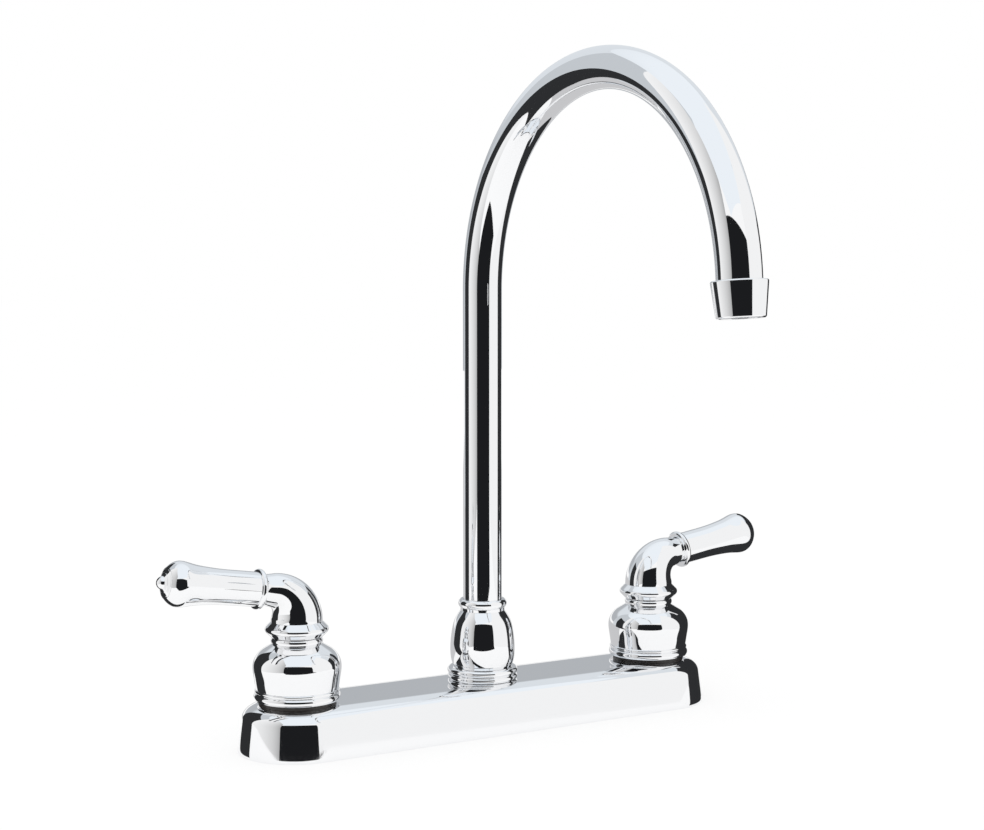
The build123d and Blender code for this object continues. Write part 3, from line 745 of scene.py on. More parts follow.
def perforated_tree(name, rings):
    """Geometry Nodes: a round plate with rings of holes, six more in each ring."""
    tree, given, result = new_group(
        name,
        "GeometryNodeTree",
        {
            "Radius": ("Float", 8.8 * MM),
            "Thickness": ("Float", 1 * MM),
            "Hole radius": ("Float", 0.8 * MM),
            "Pitch": ("Float", 2.3 * MM),
            "Hole sides": ("Int", 20),
            "Material": ("Material", None),
        },
        {"Geometry": "Geometry"},
    )
    inputs = given.outputs
    plate = add_node(
        tree,
        "GeometryNodeMeshCylinder",
        {"Vertices": 96, "Radius": inputs["Radius"], "Depth": inputs["Thickness"]},
    )
    drill = add_node(
        tree,
        "GeometryNodeMeshCylinder",
        {
            "Vertices": inputs["Hole sides"],
            "Radius": inputs["Hole radius"],
            "Depth": calculate(tree, "MULTIPLY", inputs["Thickness"], 3.0),
        },
    )
    places = add_node(tree, "GeometryNodeJoinGeometry")
    middle = add_node(tree, "GeometryNodeMeshLine", {"Count": 1})
    tree.links.new(middle.outputs[0], places.inputs[0])
    for ring in range(1, rings + 1):
        spots = add_node(
            tree,
            "GeometryNodeMeshCircle",
            {
                "Vertices": 6 * ring,
                "Radius": calculate(tree, "MULTIPLY", inputs["Pitch"], float(ring)),
            },
        )
        tree.links.new(spots.outputs[0], places.inputs[0])
    drills = add_node(
        tree,
        "GeometryNodeInstanceOnPoints",
        {"Points": places.outputs[0], "Instance": drill.outputs[0]},
    )
    cut = add_node(tree, "GeometryNodeMeshBoolean", operation="DIFFERENCE", solver="EXACT")
    tree.links.new(plate.outputs[0], cut.inputs["Mesh 1"])
    tree.links.new(drills.outputs[0], cut.inputs["Mesh 2"])
    finish_shape(tree, cut.outputs[0], inputs["Material"], result)
    return tree


# ================================================================ finishes
def plating_group():
    """Shader group: what sets plated or drawn metal apart from a perfect mirror."""
    tree, given, result = new_group(
        "plated_surface",
        "ShaderNodeTree",
        {
            "Roughness": ("Float", 0.03),
            "Spread": ("Float", 0.03),
            "Ripple size": ("Float", 0.03),
            "Ripple height": ("Float", 0.00002),
            "Wipe size": ("Float", 0.02),
        },
        {"Roughness": "Float", "Height": "Float"},
    )
    inputs = given.outputs
    place = add_node(tree, "ShaderNodeTexCoord").outputs["Object"]
    ripple = noise(tree, place, calculate(tree, "DIVIDE", 1.0, inputs["Ripple size"]), 1.0)
    about_flat = calculate(tree, "SUBTRACT", ripple, 0.5)
    height = calculate(tree, "MULTIPLY", about_flat, inputs["Ripple height"])
    wipe_scale = calculate(tree, "DIVIDE", 1.0, inputs["Wipe size"])
    wipes = noise(tree, place, wipe_scale, 4.0, Roughness=0.6)
    rough = calculate(tree, "MULTIPLY_ADD", wipes, inputs["Spread"], inputs["Roughness"])
    hand_out(tree, result, {"Roughness": rough, "Height": height})
    return tree


def grain_group():
    """Shader group: the fine grain and slight mottling of moulded pieces."""
    tree, given, result = new_group(
        "moulded_grain",
        "ShaderNodeTree",
        {
            "Colour": ("Color", (0.5, 0.5, 0.5, 1)),
            "Mottling": ("Float", 0.1),
            "Grain size": ("Float", 0.0004),
            "Grain height": ("Float", 0.00002),
            "Roughness": ("Float", 0.5),
            "Spread": ("Float", 0.1),
        },
        {"Colour": "Color", "Roughness": "Float", "Height": "Float"},
    )
    inputs = given.outputs
    place = add_node(tree, "ShaderNodeTexCoord").outputs["Object"]
    grain = noise(tree, place, calculate(tree, "DIVIDE", 1.0, inputs["Grain size"]), 3.0)
    clouds = calculate(tree, "SUBTRACT", noise(tree, place, 120.0, 3.0), 0.5)
    shade = calculate(tree, "MULTIPLY_ADD", clouds, inputs["Mottling"], 1.0)
    tint = shaded(tree, inputs["Colour"], shade)
    rough = calculate(tree, "MULTIPLY_ADD", grain, inputs["Spread"], inputs["Roughness"])
    height = calculate(tree, "MULTIPLY", grain, inputs["Grain height"])
    hand_out(tree, result, {"Colour": tint, "Roughness": rough, "Height": height})
    return tree


def machining_group():
    """Shader group: fine rings left by the tool, and a slight tarnish."""
    tree, given, result = new_group(
        "machined_marks",
        "ShaderNodeTree",
        {
            "Colour": ("Color", (0.7, 0.6, 0.4, 1)),
            "Tarnish": ("Float", 0.2),
            "Mark pitch": ("Float", 0.0002),
            "Mark height": ("Float", 0.000004),
            "Roughness": ("Float", 0.25),
        },
        {"Colour": "Color", "Roughness": "Float", "Height": "Float"},
    )
    inputs = given.outputs
    place = add_node(tree, "ShaderNodeTexCoord").outputs["Object"]
    apart = add_node(tree, "ShaderNodeSeparateXYZ", {"Vector": place})
    across = add_node(tree, "ShaderNodeCombineXYZ", {"Z": apart.outputs["Z"]})
    mark_scale = calculate(tree, "DIVIDE", 1.0, inputs["Mark pitch"])
    marks = noise(tree, across.outputs[0], mark_scale, 2.0)
    clouds = noise(tree, place, 90.0, 4.0)
    darker = calculate(tree, "MULTIPLY", clouds, inputs["Tarnish"])
    tint = shaded(tree, inputs["Colour"], calculate(tree, "SUBTRACT", 1.0, darker))
    rough = calculate(tree, "MULTIPLY_ADD", clouds, 0.15, inputs["Roughness"])
    height = calculate(tree, "MULTIPLY", marks, inputs["Mark height"])
    hand_out(tree, result, {"Colour": tint, "Roughness": rough, "Height": height})
    return tree


def new_finish(name, group, values, metallic, tint):
    """Material with a Principled shader fed by one of the groups."""
    material = fresh(bpy.data.materials, name)
    material.use_nodes = True
    tree = material.node_tree
    shader = tree.nodes["Principled BSDF"]
    shader.inputs["Metallic"].default_value = metallic
    detail = add_node(tree, "ShaderNodeGroup", node_tree=group)
    for label, value in values.items():
        detail.inputs[label].default_value = value
    if "Colour" in detail.inputs:
        detail.inputs["Colour"].default_value = (*tint, 1)
        tree.links.new(detail.outputs["Colour"], shader.inputs["Base Color"])
    else:
        shader.inputs["Base Color"].default_value = (*tint, 1)
    tree.links.new(detail.outputs["Roughness"], shader.inputs["Roughness"])
    bump = add_node(
        tree, "ShaderNodeBump", {"Height": detail.outputs["Height"], "Distance": 1.0}
    )
    tree.links.new(bump.outputs[0], shader.inputs["Normal"])
    material.diffuse_color = (*tint, 1)
    return material


class FAUCET_OT_finishes(Operator):
    """Make the chrome, metal, rubber and plastic finishes"""

    bl_idname = "faucet.finishes"
    bl_label = "Finishes"

    def execute(self, context):
        tints = context.scene.faucet.finish
        plating, grain, machining = plating_group(), grain_group(), machining_group()
        for name, rough, size, height in (
            ("cast_chrome", 0.02, 0.012, 0.000003),
            ("tube_chrome", 0.018, 0.03, 0.000004),
            ("plate_chrome", 0.024, 0.035, 0.000006),
        ):
            values = {
                "Roughness": rough,
                "Spread": 0.02,
                "Ripple size": size,
                "Ripple height": height,
                "Wipe size": 0.02,
            }
            new_finish(name, plating, values, 1.0, tints.chrome)
        for name, tint, rough, tarnish in (
            ("machined_brass", tints.brass, 0.24, 0.25),
            ("drawn_copper", tints.copper, 0.3, 0.35),
            ("plain_steel", tints.steel, 0.28, 0.1),
        ):
            values = {"Roughness": rough, "Tarnish": tarnish}
            new_finish(name, machining, values, 1.0, tint)
        for name, tint, rough, size, height, mottling in (
            ("satin_rubber", tints.rubber, 0.34, 0.0005, 0.00001, 0.3),
            ("gasket_foam", tints.foam, 0.85, 0.0009, 0.0002, 0.5),
            ("natural_nylon", tints.nylon, 0.4, 0.0006, 0.00001, 0.06),
            ("wing_nut_plastic", tints.wing_nut, 0.42, 0.0005, 0.00002, 0.05),
            ("jet_plastic", tints.jets, 0.38, 0.0004, 0.00001, 0.06),
            ("lapped_ceramic", tints.ceramic, 0.12, 0.0003, 0.000002, 0.04),
        ):
            values = {
                "Roughness": rough,
                "Spread": 0.12,
                "Grain size": size,
                "Grain height": height,
                "Mottling": mottling,
            }
            new_finish(name, grain, values, 0.0, tint)
        return {"FINISHED"}


# ================================================================ deck cover
def plan_ring(radius, height):
    """Ring of points round the deck's plan: half circles about the handle axes, joined."""
    end_steps, side_steps = 64, 48
    points = []
    for sign in (1, -1):
        for k in range(end_steps + 1):
            t = (k / end_steps - 0.5) * pi
            place = (handle_x + radius * cos(t), radius * sin(t))
            points.append(Vector((sign * place[0], sign * place[1], height)))
        step = Vector((-2 * sign * handle_x / side_steps, 0, 0))
        start = points[-1]
        points += [start + step * k for k in range(1, side_steps)]
    return points


def crown_run(sizes, start, end):
    """Points along the rounded border of the deck's top, from the wall to the flat."""
    lean = tan(sizes.draft)
    pull = 4 * (2**0.5 - 1) / 3  # makes a cubic curve follow a quarter circle
    rise, reach = pull * (end[1] - start[1]), pull * (start[0] - end[0])
    a, d = Vector(start), Vector(end)
    b, c = a + Vector((-rise * lean, rise)), d + Vector((reach, 0))
    points = []
    for k in range(CROWN_STEPS + 1):
        t = k / CROWN_STEPS
        u = 1 - t
        points.append(u**3 * a + 3 * u * u * t * b + 3 * u * t * t * c + t**3 * d)
    return points


def deck_crown(sizes, wall=0.0, flat=None):
    """The border's points, for the outside or for a wall's thickness inside it."""
    shoulder = deck_top - sizes.crown_drop
    rim = sizes.depth / 2 - shoulder * tan(sizes.draft)
    if flat is None:
        flat = rim - sizes.crown_reach
    return crown_run(sizes, (rim - wall, shoulder - wall), (flat, deck_top - wall))


def deck_cover(sizes):
    """Hollow crowned cover with drafted walls and three holes."""
    lean, foot, soft = tan(sizes.draft), sizes.depth / 2, sizes.soft
    bevel = 0.3 * soft  # how far the middle of a soft edge stays inside the sharp one
    underside = deck_top - sizes.wall
    inner_foot = foot - sizes.wall * (1 + lean)
    outer = deck_crown(sizes)
    inner = deck_crown(sizes, sizes.wall, sizes.valve_hole + 2 * soft)
    section = [
        *reversed(inner),
        (inner_foot - soft * lean, soft),
        (inner_foot + soft, 0),
        (foot - soft, 0),
        (foot - bevel, bevel),
    ]
    wall_top, wall_steps = outer[0].y, 10
    for k in range(wall_steps):
        height = soft + (wall_top - soft) * k / wall_steps
        section.append((foot - height * lean, height))
    section += outer
    mesh = skin([plan_ring(*place) for place in section], closed=False)
    work = bmesh.new()
    work.from_mesh(mesh)
    work.edges.ensure_lookup_table()
    rims = [
        [edge for edge in work.edges if edge.is_boundary and abs(edge.verts[0].co.z - z) < soft / 3]
        for z in (underside, deck_top)
    ]
    for x, radius in (
        (-handle_x, sizes.valve_hole),
        (0, sizes.spout_hole),
        (handle_x, sizes.valve_hole),
    ):
        steps = [
            (radius, underside),
            (radius, deck_top - soft),
            (radius + bevel, deck_top - bevel),
            (radius + soft, deck_top),
        ]
        rings = []
        for size, height in steps:
            points = circle(Matrix.Translation((x, 0, height)), size, HOLE_SIDES)
            rings.append([work.verts.new(point) for point in points])
        for low, high in zip(rings, rings[1:]):
            for k in range(HOLE_SIDES):
                work.faces.new((low[k - 1], high[k - 1], high[k], low[k]))
        for rim, hole in zip(rims, (rings[0], rings[-1])):
            rim += [work.edges.get((hole[k - 1], hole[k])) for k in range(HOLE_SIDES)]
    for rim in rims:
        bmesh.ops.triangle_fill(work, use_beauty=True, use_dissolve=False, edges=rim)
    bmesh.ops.recalc_face_normals(work, faces=work.faces)
    work.to_mesh(mesh)
    work.free()
    return mesh


class FAUCET_OT_deck_cover(Operator):
    """Make the chrome cover that carries the spout and both handles"""

    bl_idname = "faucet.deck_cover"
    bl_label = "Deck cover"

    def execute(self, context):
        mesh = deck_cover(context.scene.faucet.deck)
        add_piece("deck_cover", mesh, "plate_chrome", "base", ["deck_plate"])
        return {"FINISHED"}


# ================================================================ bells
def seat_ring(sizes, deck):
    """Dark ring between a bell and the deck; its foot follows the deck's rounded border."""
    low, high = deck_top, bell_low
    edge = sizes.seat_radius - sizes.seat_bulge
    section = outline(
        (sizes.bore, low),
        (edge, low),
        ((sizes.seat_radius, (low + high) / 2), (edge, high)),
        (sizes.bore, high),
        rounding=0.1 * MM,
    )
    mesh = skin(turned(section))
    border = [*reversed(deck_crown(deck))]
    reaches, heights = [point.x for point in border], [point.y for point in border]
    for corner in mesh.vertices:
        x, y, z = corner.co
        reach = Vector((max(x, 0), y)).length
        drop = deck_top - float(np.interp(reach, reaches, heights))
        corner.co.z -= drop * (high - z) / (high - low)
    return mesh


def bell_cover(sizes):
    """Outline of a bell: ridged foot, swelling body, shoulder and ridged neck."""
    foot_top = bell_low + sizes.foot_height
    ridge_top = foot_top + sizes.ring_height
    neck = sizes.neck - sizes.ridge
    rise = sizes.shoulder_height - sizes.belly_height
    swell = sizes.belly - neck
    wall = sizes.wall
    web_top = bell_low + sizes.web
    shoulder = [
        (neck + swell * out, sizes.belly_height + rise * up)
        for out, up in ((0.956, 0.257), (0.84, 0.46), (0.61, 0.68), (0.29, 0.853))
    ]
    middle = ((sizes.waist + sizes.belly) / 2, (ridge_top + sizes.belly_height) / 2)
    inner = [(radius - wall, height - wall) for radius, height in reversed(shoulder)]
    inner.append((sizes.belly - wall, sizes.belly_height - wall))
    return outline(
        (sizes.bore, bell_low),
        (sizes.foot_edge, bell_low),
        ((sizes.foot, (bell_low + foot_top) / 2), (sizes.groove, foot_top)),
        ((sizes.ring, (foot_top + ridge_top) / 2), (sizes.groove, ridge_top)),
        [
            (sizes.waist, ridge_top + sizes.waist_rise),
            middle,
            (sizes.belly, sizes.belly_height),
            *shoulder,
            (neck, sizes.shoulder_height),
        ],
        *ridges(sizes.neck, sizes.ridge, sizes.shoulder_height, bell_top, 1),
        (neck - wall, bell_top),
        (neck - wall, sizes.shoulder_height - wall),
        inner,
        (sizes.waist - wall, web_top),
        (sizes.bore, web_top),
        rounding=0.12 * MM,
    )


class FAUCET_OT_bells(Operator):
    """Make the bell shaped covers and the dark rings under them"""

    bl_idname = "faucet.bells"
    bl_label = "Bells and seat rings"

    def execute(self, context):
        settings = context.scene.faucet
        for side in SIDES:
            ring = seat_ring(settings.bell, settings.deck)
            bell = skin(turned(bell_cover(settings.bell)))
            for name, mesh, finish, node in (
                ("seat_ring", ring, "satin_rubber", "bell_gasket"),
                ("bell_cover", bell, "cast_chrome", "bell"),
            ):
                mesh = placed(mesh, side_frame(side))
                add_piece(f"{side}_{name}", mesh, finish, "base", [f"{side}_{node}"])
        return {"FINISHED"}


# ================================================================ handles
def hub(sizes):
    """Cast elbow: bead at the foot, upright, bend and face for the collar."""
    bead_top = hub_low + sizes.bead_height
    slope = sizes.bead_slope
    rim = sizes.hub + sizes.overhang
    recess_top = hub_low + sizes.recess_depth
    upright = outline(
        (sizes.recess, recess_top),
        (sizes.recess, hub_low),
        (sizes.foot, hub_low),
        (sizes.foot + slope, hub_low + slope),
        ((sizes.bead, (hub_low + bead_top) / 2), (rim + slope, bead_top - slope)),
        (rim, bead_top),
        (sizes.hub, bead_top + sizes.overhang),
        closed=False,
    )
    hole_top = height_frame(sizes.stem_hole_top)
    rings = [
        [hole_top.translation],
        square(hole_top, sizes.stem_hole),
        square(height_frame(recess_top), sizes.stem_hole),
    ]
    rings += turned(upright)
    bend_end = pi / 2 - sizes.tilt
    bend_length = sizes.elbow_radius * bend_end
    total = bend_length + sizes.elbow_reach

    def radius_at(along):
        """The elbow's radius at a length along its middle line."""
        part = min(max(along / total, 0), 1)
        taper = (part + (1 - cos(pi * part)) / 2) / 2
        return sizes.hub + (sizes.neck - sizes.hub) * taper

    blend = 1.4 * MM  # the radius is evened out over this length to either side
    for k in range(ELBOW_STEPS + 1):
        along = (total + blend) * k / ELBOW_STEPS - blend
        bend = min(max(along, 0), bend_length) / sizes.elbow_radius
        beyond = max(along - bend_length, 0)
        x = sizes.elbow_radius * (1 - cos(bend)) + beyond * sin(bend)
        z = sizes.elbow_start + min(along, 0)
        z += sizes.elbow_radius * sin(bend) + beyond * cos(bend)
        place = Matrix.Translation((x, 0, z)) @ Matrix.Rotation(bend, 4, "Y")
        nearby = [radius_at(along + blend * shift) for shift in (-1, -0.5, 0, 0.5, 1)]
        rings.append(circle(place, sum(nearby) / len(nearby)))
    face = lever_frame(sizes) @ height_frame(-sizes.collar_width / 2)
    hole_end = face @ height_frame(-sizes.stud_depth)
    rings += [
        circle(face, sizes.neck - 0.2 * MM),
        circle(face, sizes.stud),
        circle(hole_end, sizes.stud),
        [hole_end.translation],
    ]
    return skin(rings, closed=False)


def screw_frame(sizes):
    """Frame of the set screw's hole, with Z pointing out of the hub's back."""
    mouth = Matrix.Translation((0, sizes.screw_back, sizes.screw_height))
    return mouth @ Matrix.Rotation(-pi / 2, 4, "X")


def collar(sizes):
    """Outline of the ring between the hub and the lever."""
    half = sizes.collar_width / 2
    shoulder = sizes.collar - half
    return outline(
        (sizes.stud, -half),
        (shoulder, -half),
        ((sizes.collar, 0), (shoulder, half)),
        (sizes.stud, half),
        rounding=0.1 * MM,
    )


def lever(sizes):
    """Outline of the flared grip that ends in a ball."""
    start = sizes.collar_width / 2
    end = sizes.ball_at + sizes.ball_end
    swell = sizes.ball - sizes.lever_middle
    drop = sizes.ball - sizes.end_radius
    hole = end - sizes.plug_hole
    flare = [
        (sizes.lever_middle + swell * out, sizes.ball_at * along)
        for along, out in ((0.51, 0.045), (0.69, 0.245), (0.815, 0.49), (0.92, 0.83))
    ]
    curve = [
        (sizes.ball - drop * fall, sizes.ball_at + sizes.ball_end * along)
        for along, fall in ((0.32, 0.09), (0.53, 0.27), (0.765, 0.58))
    ]
    return outline(
        (sizes.stud, start),
        (sizes.lever_start, start),
        [
            ((sizes.lever_start + sizes.lever_middle) / 2, sizes.ball_at / 4),
            *flare,
            (sizes.ball, sizes.ball_at),
            *curve,
            (sizes.end_radius, end),
        ],
        (sizes.plug, end),
        (sizes.plug, hole),
        (sizes.stud, hole),
        rounding=0.15 * MM,
    )


def end_button(sizes):
    """Outline of the cap on the ball: a stepped shallow cone with a round button."""
    end = sizes.ball_at + sizes.ball_end
    neck = sizes.button * cos(sizes.button_neck)
    neck_at = sizes.button_at + sizes.button * sin(sizes.button_neck)
    half_turn = (sizes.button_neck + pi / 2) / 2
    half_way = (sizes.button * cos(half_turn), sizes.button_at + sizes.button * sin(half_turn))
    plug_end = end - sizes.plug_length
    cone = []
    for part, steps in ((0.14, 0), (0.18, 1), (0.58, 1), (0.62, 2)):
        radius = sizes.end_radius + (neck - sizes.end_radius) * part
        cone.append((radius, end + (neck_at - end) * part + steps * sizes.cap_step))
    return outline(
        (0, plug_end),
        (sizes.plug, plug_end),
        (sizes.plug, end),
        (sizes.end_radius, end),
        *cone,
        (neck, neck_at + 2 * sizes.cap_step),
        (half_way, (0, sizes.button_at + sizes.button)),
        rounding=0.2 * MM,
        closed=False,
    )


class FAUCET_OT_handles(Operator):
    """Make the hubs, collars, levers and end buttons of both handles"""

    bl_idname = "faucet.handles"
    bl_label = "Handles"

    def execute(self, context):
        sizes = context.scene.faucet.handle
        for side in SIDES:
            body, outer = f"{side}_handle", side_frame(side)
            hole = (sizes.screw, sizes.screw_depth, sizes.screw_edge)
            mesh = placed(drilled(hub(sizes), screw_frame(sizes), *hole), outer)
            add_piece(f"{side}_hub_casting", mesh, "cast_chrome", body, [f"{side}_handle_hub"])
            for name, points, closed, node in (
                ("grip_collar", collar(sizes), True, "lever_collar"),
                ("flared_grip", lever(sizes), True, "lever"),
                ("end_button", end_button(sizes), False, "lever_button"),
            ):
                mesh = placed(skin(turned(points), closed), outer @ lever_frame(sizes))
                add_piece(f"{side}_{name}", mesh, "cast_chrome", body, [f"{side}_{node}"])
        return {"FINISHED"}


# ================================================================ spout mounting
def bead_ring(sizes):
    """Outline of the ring of two beads on the deck."""
    low, high = deck_top, ring_top
    middle = low + sizes.bead_height
    return outline(
        (sizes.bore, low),
        (sizes.bead - sizes.groove, low),
        *ridges(sizes.bead, sizes.groove, low, middle, 1),
        ((sizes.upper_bead, (middle + high) / 2), (sizes.ring_top, high)),
        (sizes.bore, high),
        rounding=0.15 * MM,
    )


def vase_nut(sizes):
    """Outline of the vase shaped nut with its rounded collar."""
    low = ring_top
    collar_low = nut_top - sizes.nut_collar_height
    collar_rim = sizes.nut_collar - sizes.nut_collar_round
    waist_low = collar_low - sizes.nut_waist_height
    upper = waist_low - sizes.nut_belly_height
    swell = sizes.nut_belly - sizes.nut_waist
    flank = [
        (sizes.nut_waist + swell * out, sizes.nut_belly_height + upper * up)
        for out, up in ((0.865, 0.41), (0.505, 0.78))
    ]
    return outline(
        (sizes.bore, low),
        (sizes.nut_foot, low),
        [
            (sizes.nut_foot + sizes.nut_swell, (2 * low + sizes.nut_belly_height) / 3),
            (sizes.nut_belly, sizes.nut_belly_height),
            *flank,
            (sizes.nut_waist, waist_low),
        ],
        (sizes.nut_waist, collar_low),
        (collar_rim, collar_low),
        ((sizes.nut_collar, (collar_low + nut_top) / 2), (collar_rim, nut_top)),
        (sizes.nut_neck, nut_top),
        (sizes.nut_neck, sizes.nut_shoulder),
        (sizes.bore, sizes.nut_shoulder),
        rounding=0.2 * MM,
    )


class FAUCET_OT_spout_mount(Operator):
    """Make the bead ring and the vase shaped nut under the spout"""

    bl_idname = "faucet.spout_mount"
    bl_label = "Bead ring and nut"

    def execute(self, context):
        sizes = context.scene.faucet.mount
        for name, points, node in (
            ("bead_ring", bead_ring(sizes), "spout_base_ring"),
            ("vase_nut", vase_nut(sizes), "spout_nut"),
        ):
            add_piece(name, skin(turned(points)), "cast_chrome", "base", [node])
        return {"FINISHED"}


# ================================================================ spout
class FAUCET_OT_spout_tube(Operator):
    """Make the bent chrome tube"""

    bl_idname = "faucet.spout_tube"
    bl_label = "Spout tube"

    def execute(self, context):
        sizes = context.scene.faucet.spout
        values = {
            "Radius": sizes.tube,
            "Foot": tube_foot,
            "Bend height": sizes.bend_height,
            "Bend radius": sizes.bend_radius,
            "Bend angle": sizes.bend_angle,
            "Tip": sizes.tip,
            "Rings": sizes.tube_rings,
            "Sides": sizes.tube_sides,
            "Material": bpy.data.materials["tube_chrome"],
        }
        wall = ("SOLIDIFY", {"thickness": sizes.tube_wall, "offset": -1.0})
        mesh = grown(tube_tree(), values, [wall])
        add_piece("bent_tube", mesh, "tube_chrome", "spout", ["spout_tube"])
        return {"FINISHED"}


def aerator_shell(sizes):
    """Outline of the tapered housing, its mouth and its lip."""
    top = -sizes.aerator_overlap
    bottom = sizes.aerator_height - sizes.aerator_overlap
    edge, ledge = sizes.aerator_edge, sizes.aerator_ledge
    seat, mouth = sizes.tube + sizes.slip, sizes.insert + sizes.slip
    return outline(
        (seat, top),
        (sizes.aerator_top - edge, top),
        (sizes.aerator_top, top + edge),
        (sizes.aerator_bottom, bottom - edge),
        (sizes.aerator_bottom - edge, bottom),
        (mouth, bottom),
        (mouth, ledge),
        (sizes.aerator_bore, ledge),
        (sizes.aerator_bore, 0),
        (seat, 0),
        rounding=0.6 * MM,
    )


class FAUCET_OT_aerator(Operator):
    """Make the tapered aerator housing and its jets"""

    bl_idname = "faucet.aerator"
    bl_label = "Aerator"

    def execute(self, context):
        sizes = context.scene.faucet.spout
        tip = tip_frame(sizes)
        mesh = placed(skin(turned(aerator_shell(sizes))), tip)
        add_piece("aerator_shell", mesh, "cast_chrome", "spout", ["aerator_housing"])
        face = sizes.aerator_height - sizes.aerator_overlap - sizes.insert_recess
        back = sizes.insert_back
        values = {
            "Radius": sizes.insert,
            "Thickness": face - back,
            "Hole radius": sizes.jet,
            "Pitch": sizes.jet_pitch,
            "Material": bpy.data.materials["jet_plastic"],
        }
        mesh = grown(perforated_tree("jet_former_shape", 3), values)
        mesh = placed(mesh, tip @ height_frame((face + back) / 2))
        add_piece("jet_former", mesh, "jet_plastic", "spout", ["aerator_insert"])
        return {"FINISHED"}


# ================================================================ inner pieces
class FAUCET_OT_inner_pieces(Operator):
    """Give the pieces under the chrome and under the sink their finishes"""

    bl_idname = "faucet.inner_pieces"
    bl_label = "Inner pieces"

    def execute(self, context):
        finishes = {
            "chrome": "cast_chrome",
            "tube_chrome": "tube_chrome",
            "plate_chrome": "plate_chrome",
            "brass": "machined_brass",
            "copper": "drawn_copper",
            "steel": "plain_steel",
            "rubber": "satin_rubber",
            "foam": "gasket_foam",
            "nylon": "natural_nylon",
            "nut_plastic": "wing_nut_plastic",
            "jet_plastic": "jet_plastic",
            "ceramic": "lapped_ceramic",
        }
        for name, node in frame["nodes"].items():
            finish = bpy.data.materials[finishes[slot_of(name)]]
            for socket in node.material_slots:
                socket.material = finish
        return {"FINISHED"}


# ================================================================ studio
CAMERA_PLACE = (-0.48895, -0.79948, 0.22424)
CAMERA_TURN = (85.68, 0.0, -31.737)  # degrees
CAMERA_LENS = 70.04
VIEW_BEARING = 0.5489  # radians from -Y to the camera, towards -X
LAMP_AIM = Vector((0.0, -0.06, 0.12))
FLOOR_REACH = 12.0  # metres from the faucet to the floor's sides
TENT_CENTRE = Vector((0.0, -0.08, 0.0))
TENT_RADIUS = 0.95
TENT_HEIGHT = 1.3
TENT_PANELS = 24  # flat panels in each curved card
# Bearings of the curved cards' ends: degrees from the camera to the picture's right.
REAR_CARD = (142, 226)
TENT_LEFT = (-134, -60)
TENT_RIGHT = (60, 142)
OVERHEAD_ROWS = (-1.6, 0.3, 1.6)  # where the overhead card has its tints, along Y
# Feet of the near cards: metres to the picture's right, and towards the camera. Then
# each card's height.
NEAR_CARDS = (
    ("dark_card_left", (-0.27, -0.18), (-0.40, 0.02), 0.30),
    ("softbox_left", (-0.40, 0.02), (-0.50, 0.80), 0.80),
    ("dark_card_front", (-0.50, 0.80), (0.70, 0.80), 0.57),
    ("softbox_right", (0.70, 0.80), (0.35, -0.07), 0.80),
    ("dark_card_right", (0.35, -0.07), (0.17, -0.32), 0.30),
)
# Corners of the cards on the floor, in the same measures.
FLOOR_CARDS = (
    ("dark_floor_front", ((-0.19, 0.31), (0.29, 0.31), (0.70, 0.80), (-0.50, 0.80))),
    ("dark_floor_left", ((-0.112, 0.072), (-0.40, 0.02), (-0.27, -0.18), (-0.119, 0.058))),
    ("dark_floor_right", ((0.112, -0.033), (0.35, -0.07), (0.17, -0.32), (0.118, -0.056))),
    # the grey card behind is painted shade of the white floor behind the faucet, seen only in the
    # chrome
    ("grey_floor_behind", ((-1.2, -1.2), (1.2, -1.2), (1.2, -0.06), (-1.2, -0.06))),
)


def floor_point(right, near):
    """Point on the floor from its distances to the picture's right and to the camera."""
    towards = Vector((-sin(VIEW_BEARING), -cos(VIEW_BEARING), 0))
    across = Vector((cos(VIEW_BEARING), -sin(VIEW_BEARING), 0))
    return near * towards + right * across


def bearing(degrees):
    """Level direction at an angle from the camera, positive to the picture's right."""
    psi = radians(degrees)
    return floor_point(sin(psi), cos(psi))


def add_stage(name, mesh, material):
    """Adds a stage object, which isn't part of the faucet."""
    mesh.materials.append(material)
    item = fresh(bpy.data.objects, name, mesh)
    bpy.context.scene.collection.objects.link(item)
    return item


def blank_tree(owner):
    """Empty node tree of a material or a world."""
    owner.use_nodes = True
    owner.node_tree.nodes.clear()
    return owner.node_tree


def glow_material():
    """Emission in the colour that each card's corners carry."""
    material = fresh(bpy.data.materials, "card_glow")
    tree = blank_tree(material)
    tint = add_node(tree, "ShaderNodeAttribute", attribute_name="glow")
    light = add_node(tree, "ShaderNodeEmission", {"Color": tint.outputs["Color"]})
    out = add_node(tree, "ShaderNodeOutputMaterial")
    tree.links.new(light.outputs[0], out.inputs["Surface"])
    return material


def card(name, grid, glows, material):
    """Card over a grid of points, seen only in the chrome."""
    rows, columns = len(grid), len(grid[0])
    points = [point for row in grid for point in row]
    faces = [
        (r * columns + c, r * columns + c + 1, (r + 1) * columns + c + 1, (r + 1) * columns + c)
        for r in range(rows - 1)
        for c in range(columns - 1)
    ]
    mesh = bpy.data.meshes.new(name)
    mesh.from_pydata(points, [], faces)
    tint = mesh.attributes.new("glow", "FLOAT_COLOR", "POINT")
    tint.data.foreach_set("color", [v for row in glows for glow in row for v in (*glow, 1)])
    item = add_stage(name, mesh, material)
    item.visible_camera = item.visible_diffuse = item.visible_shadow = False


def curtain(name, ends, bands, material):
    """Upright curved card between two bearings, with a glow at each of its heights."""
    start, end = ends
    grid, glows = [], []
    for height, glow in bands:
        places = [
            TENT_CENTRE + bearing(start + (end - start) * k / TENT_PANELS) * TENT_RADIUS
            for k in range(TENT_PANELS + 1)
        ]
        grid.append([(place.x, place.y, height) for place in places])
        glows.append([glow] * len(places))
    card(name, grid, glows, material)


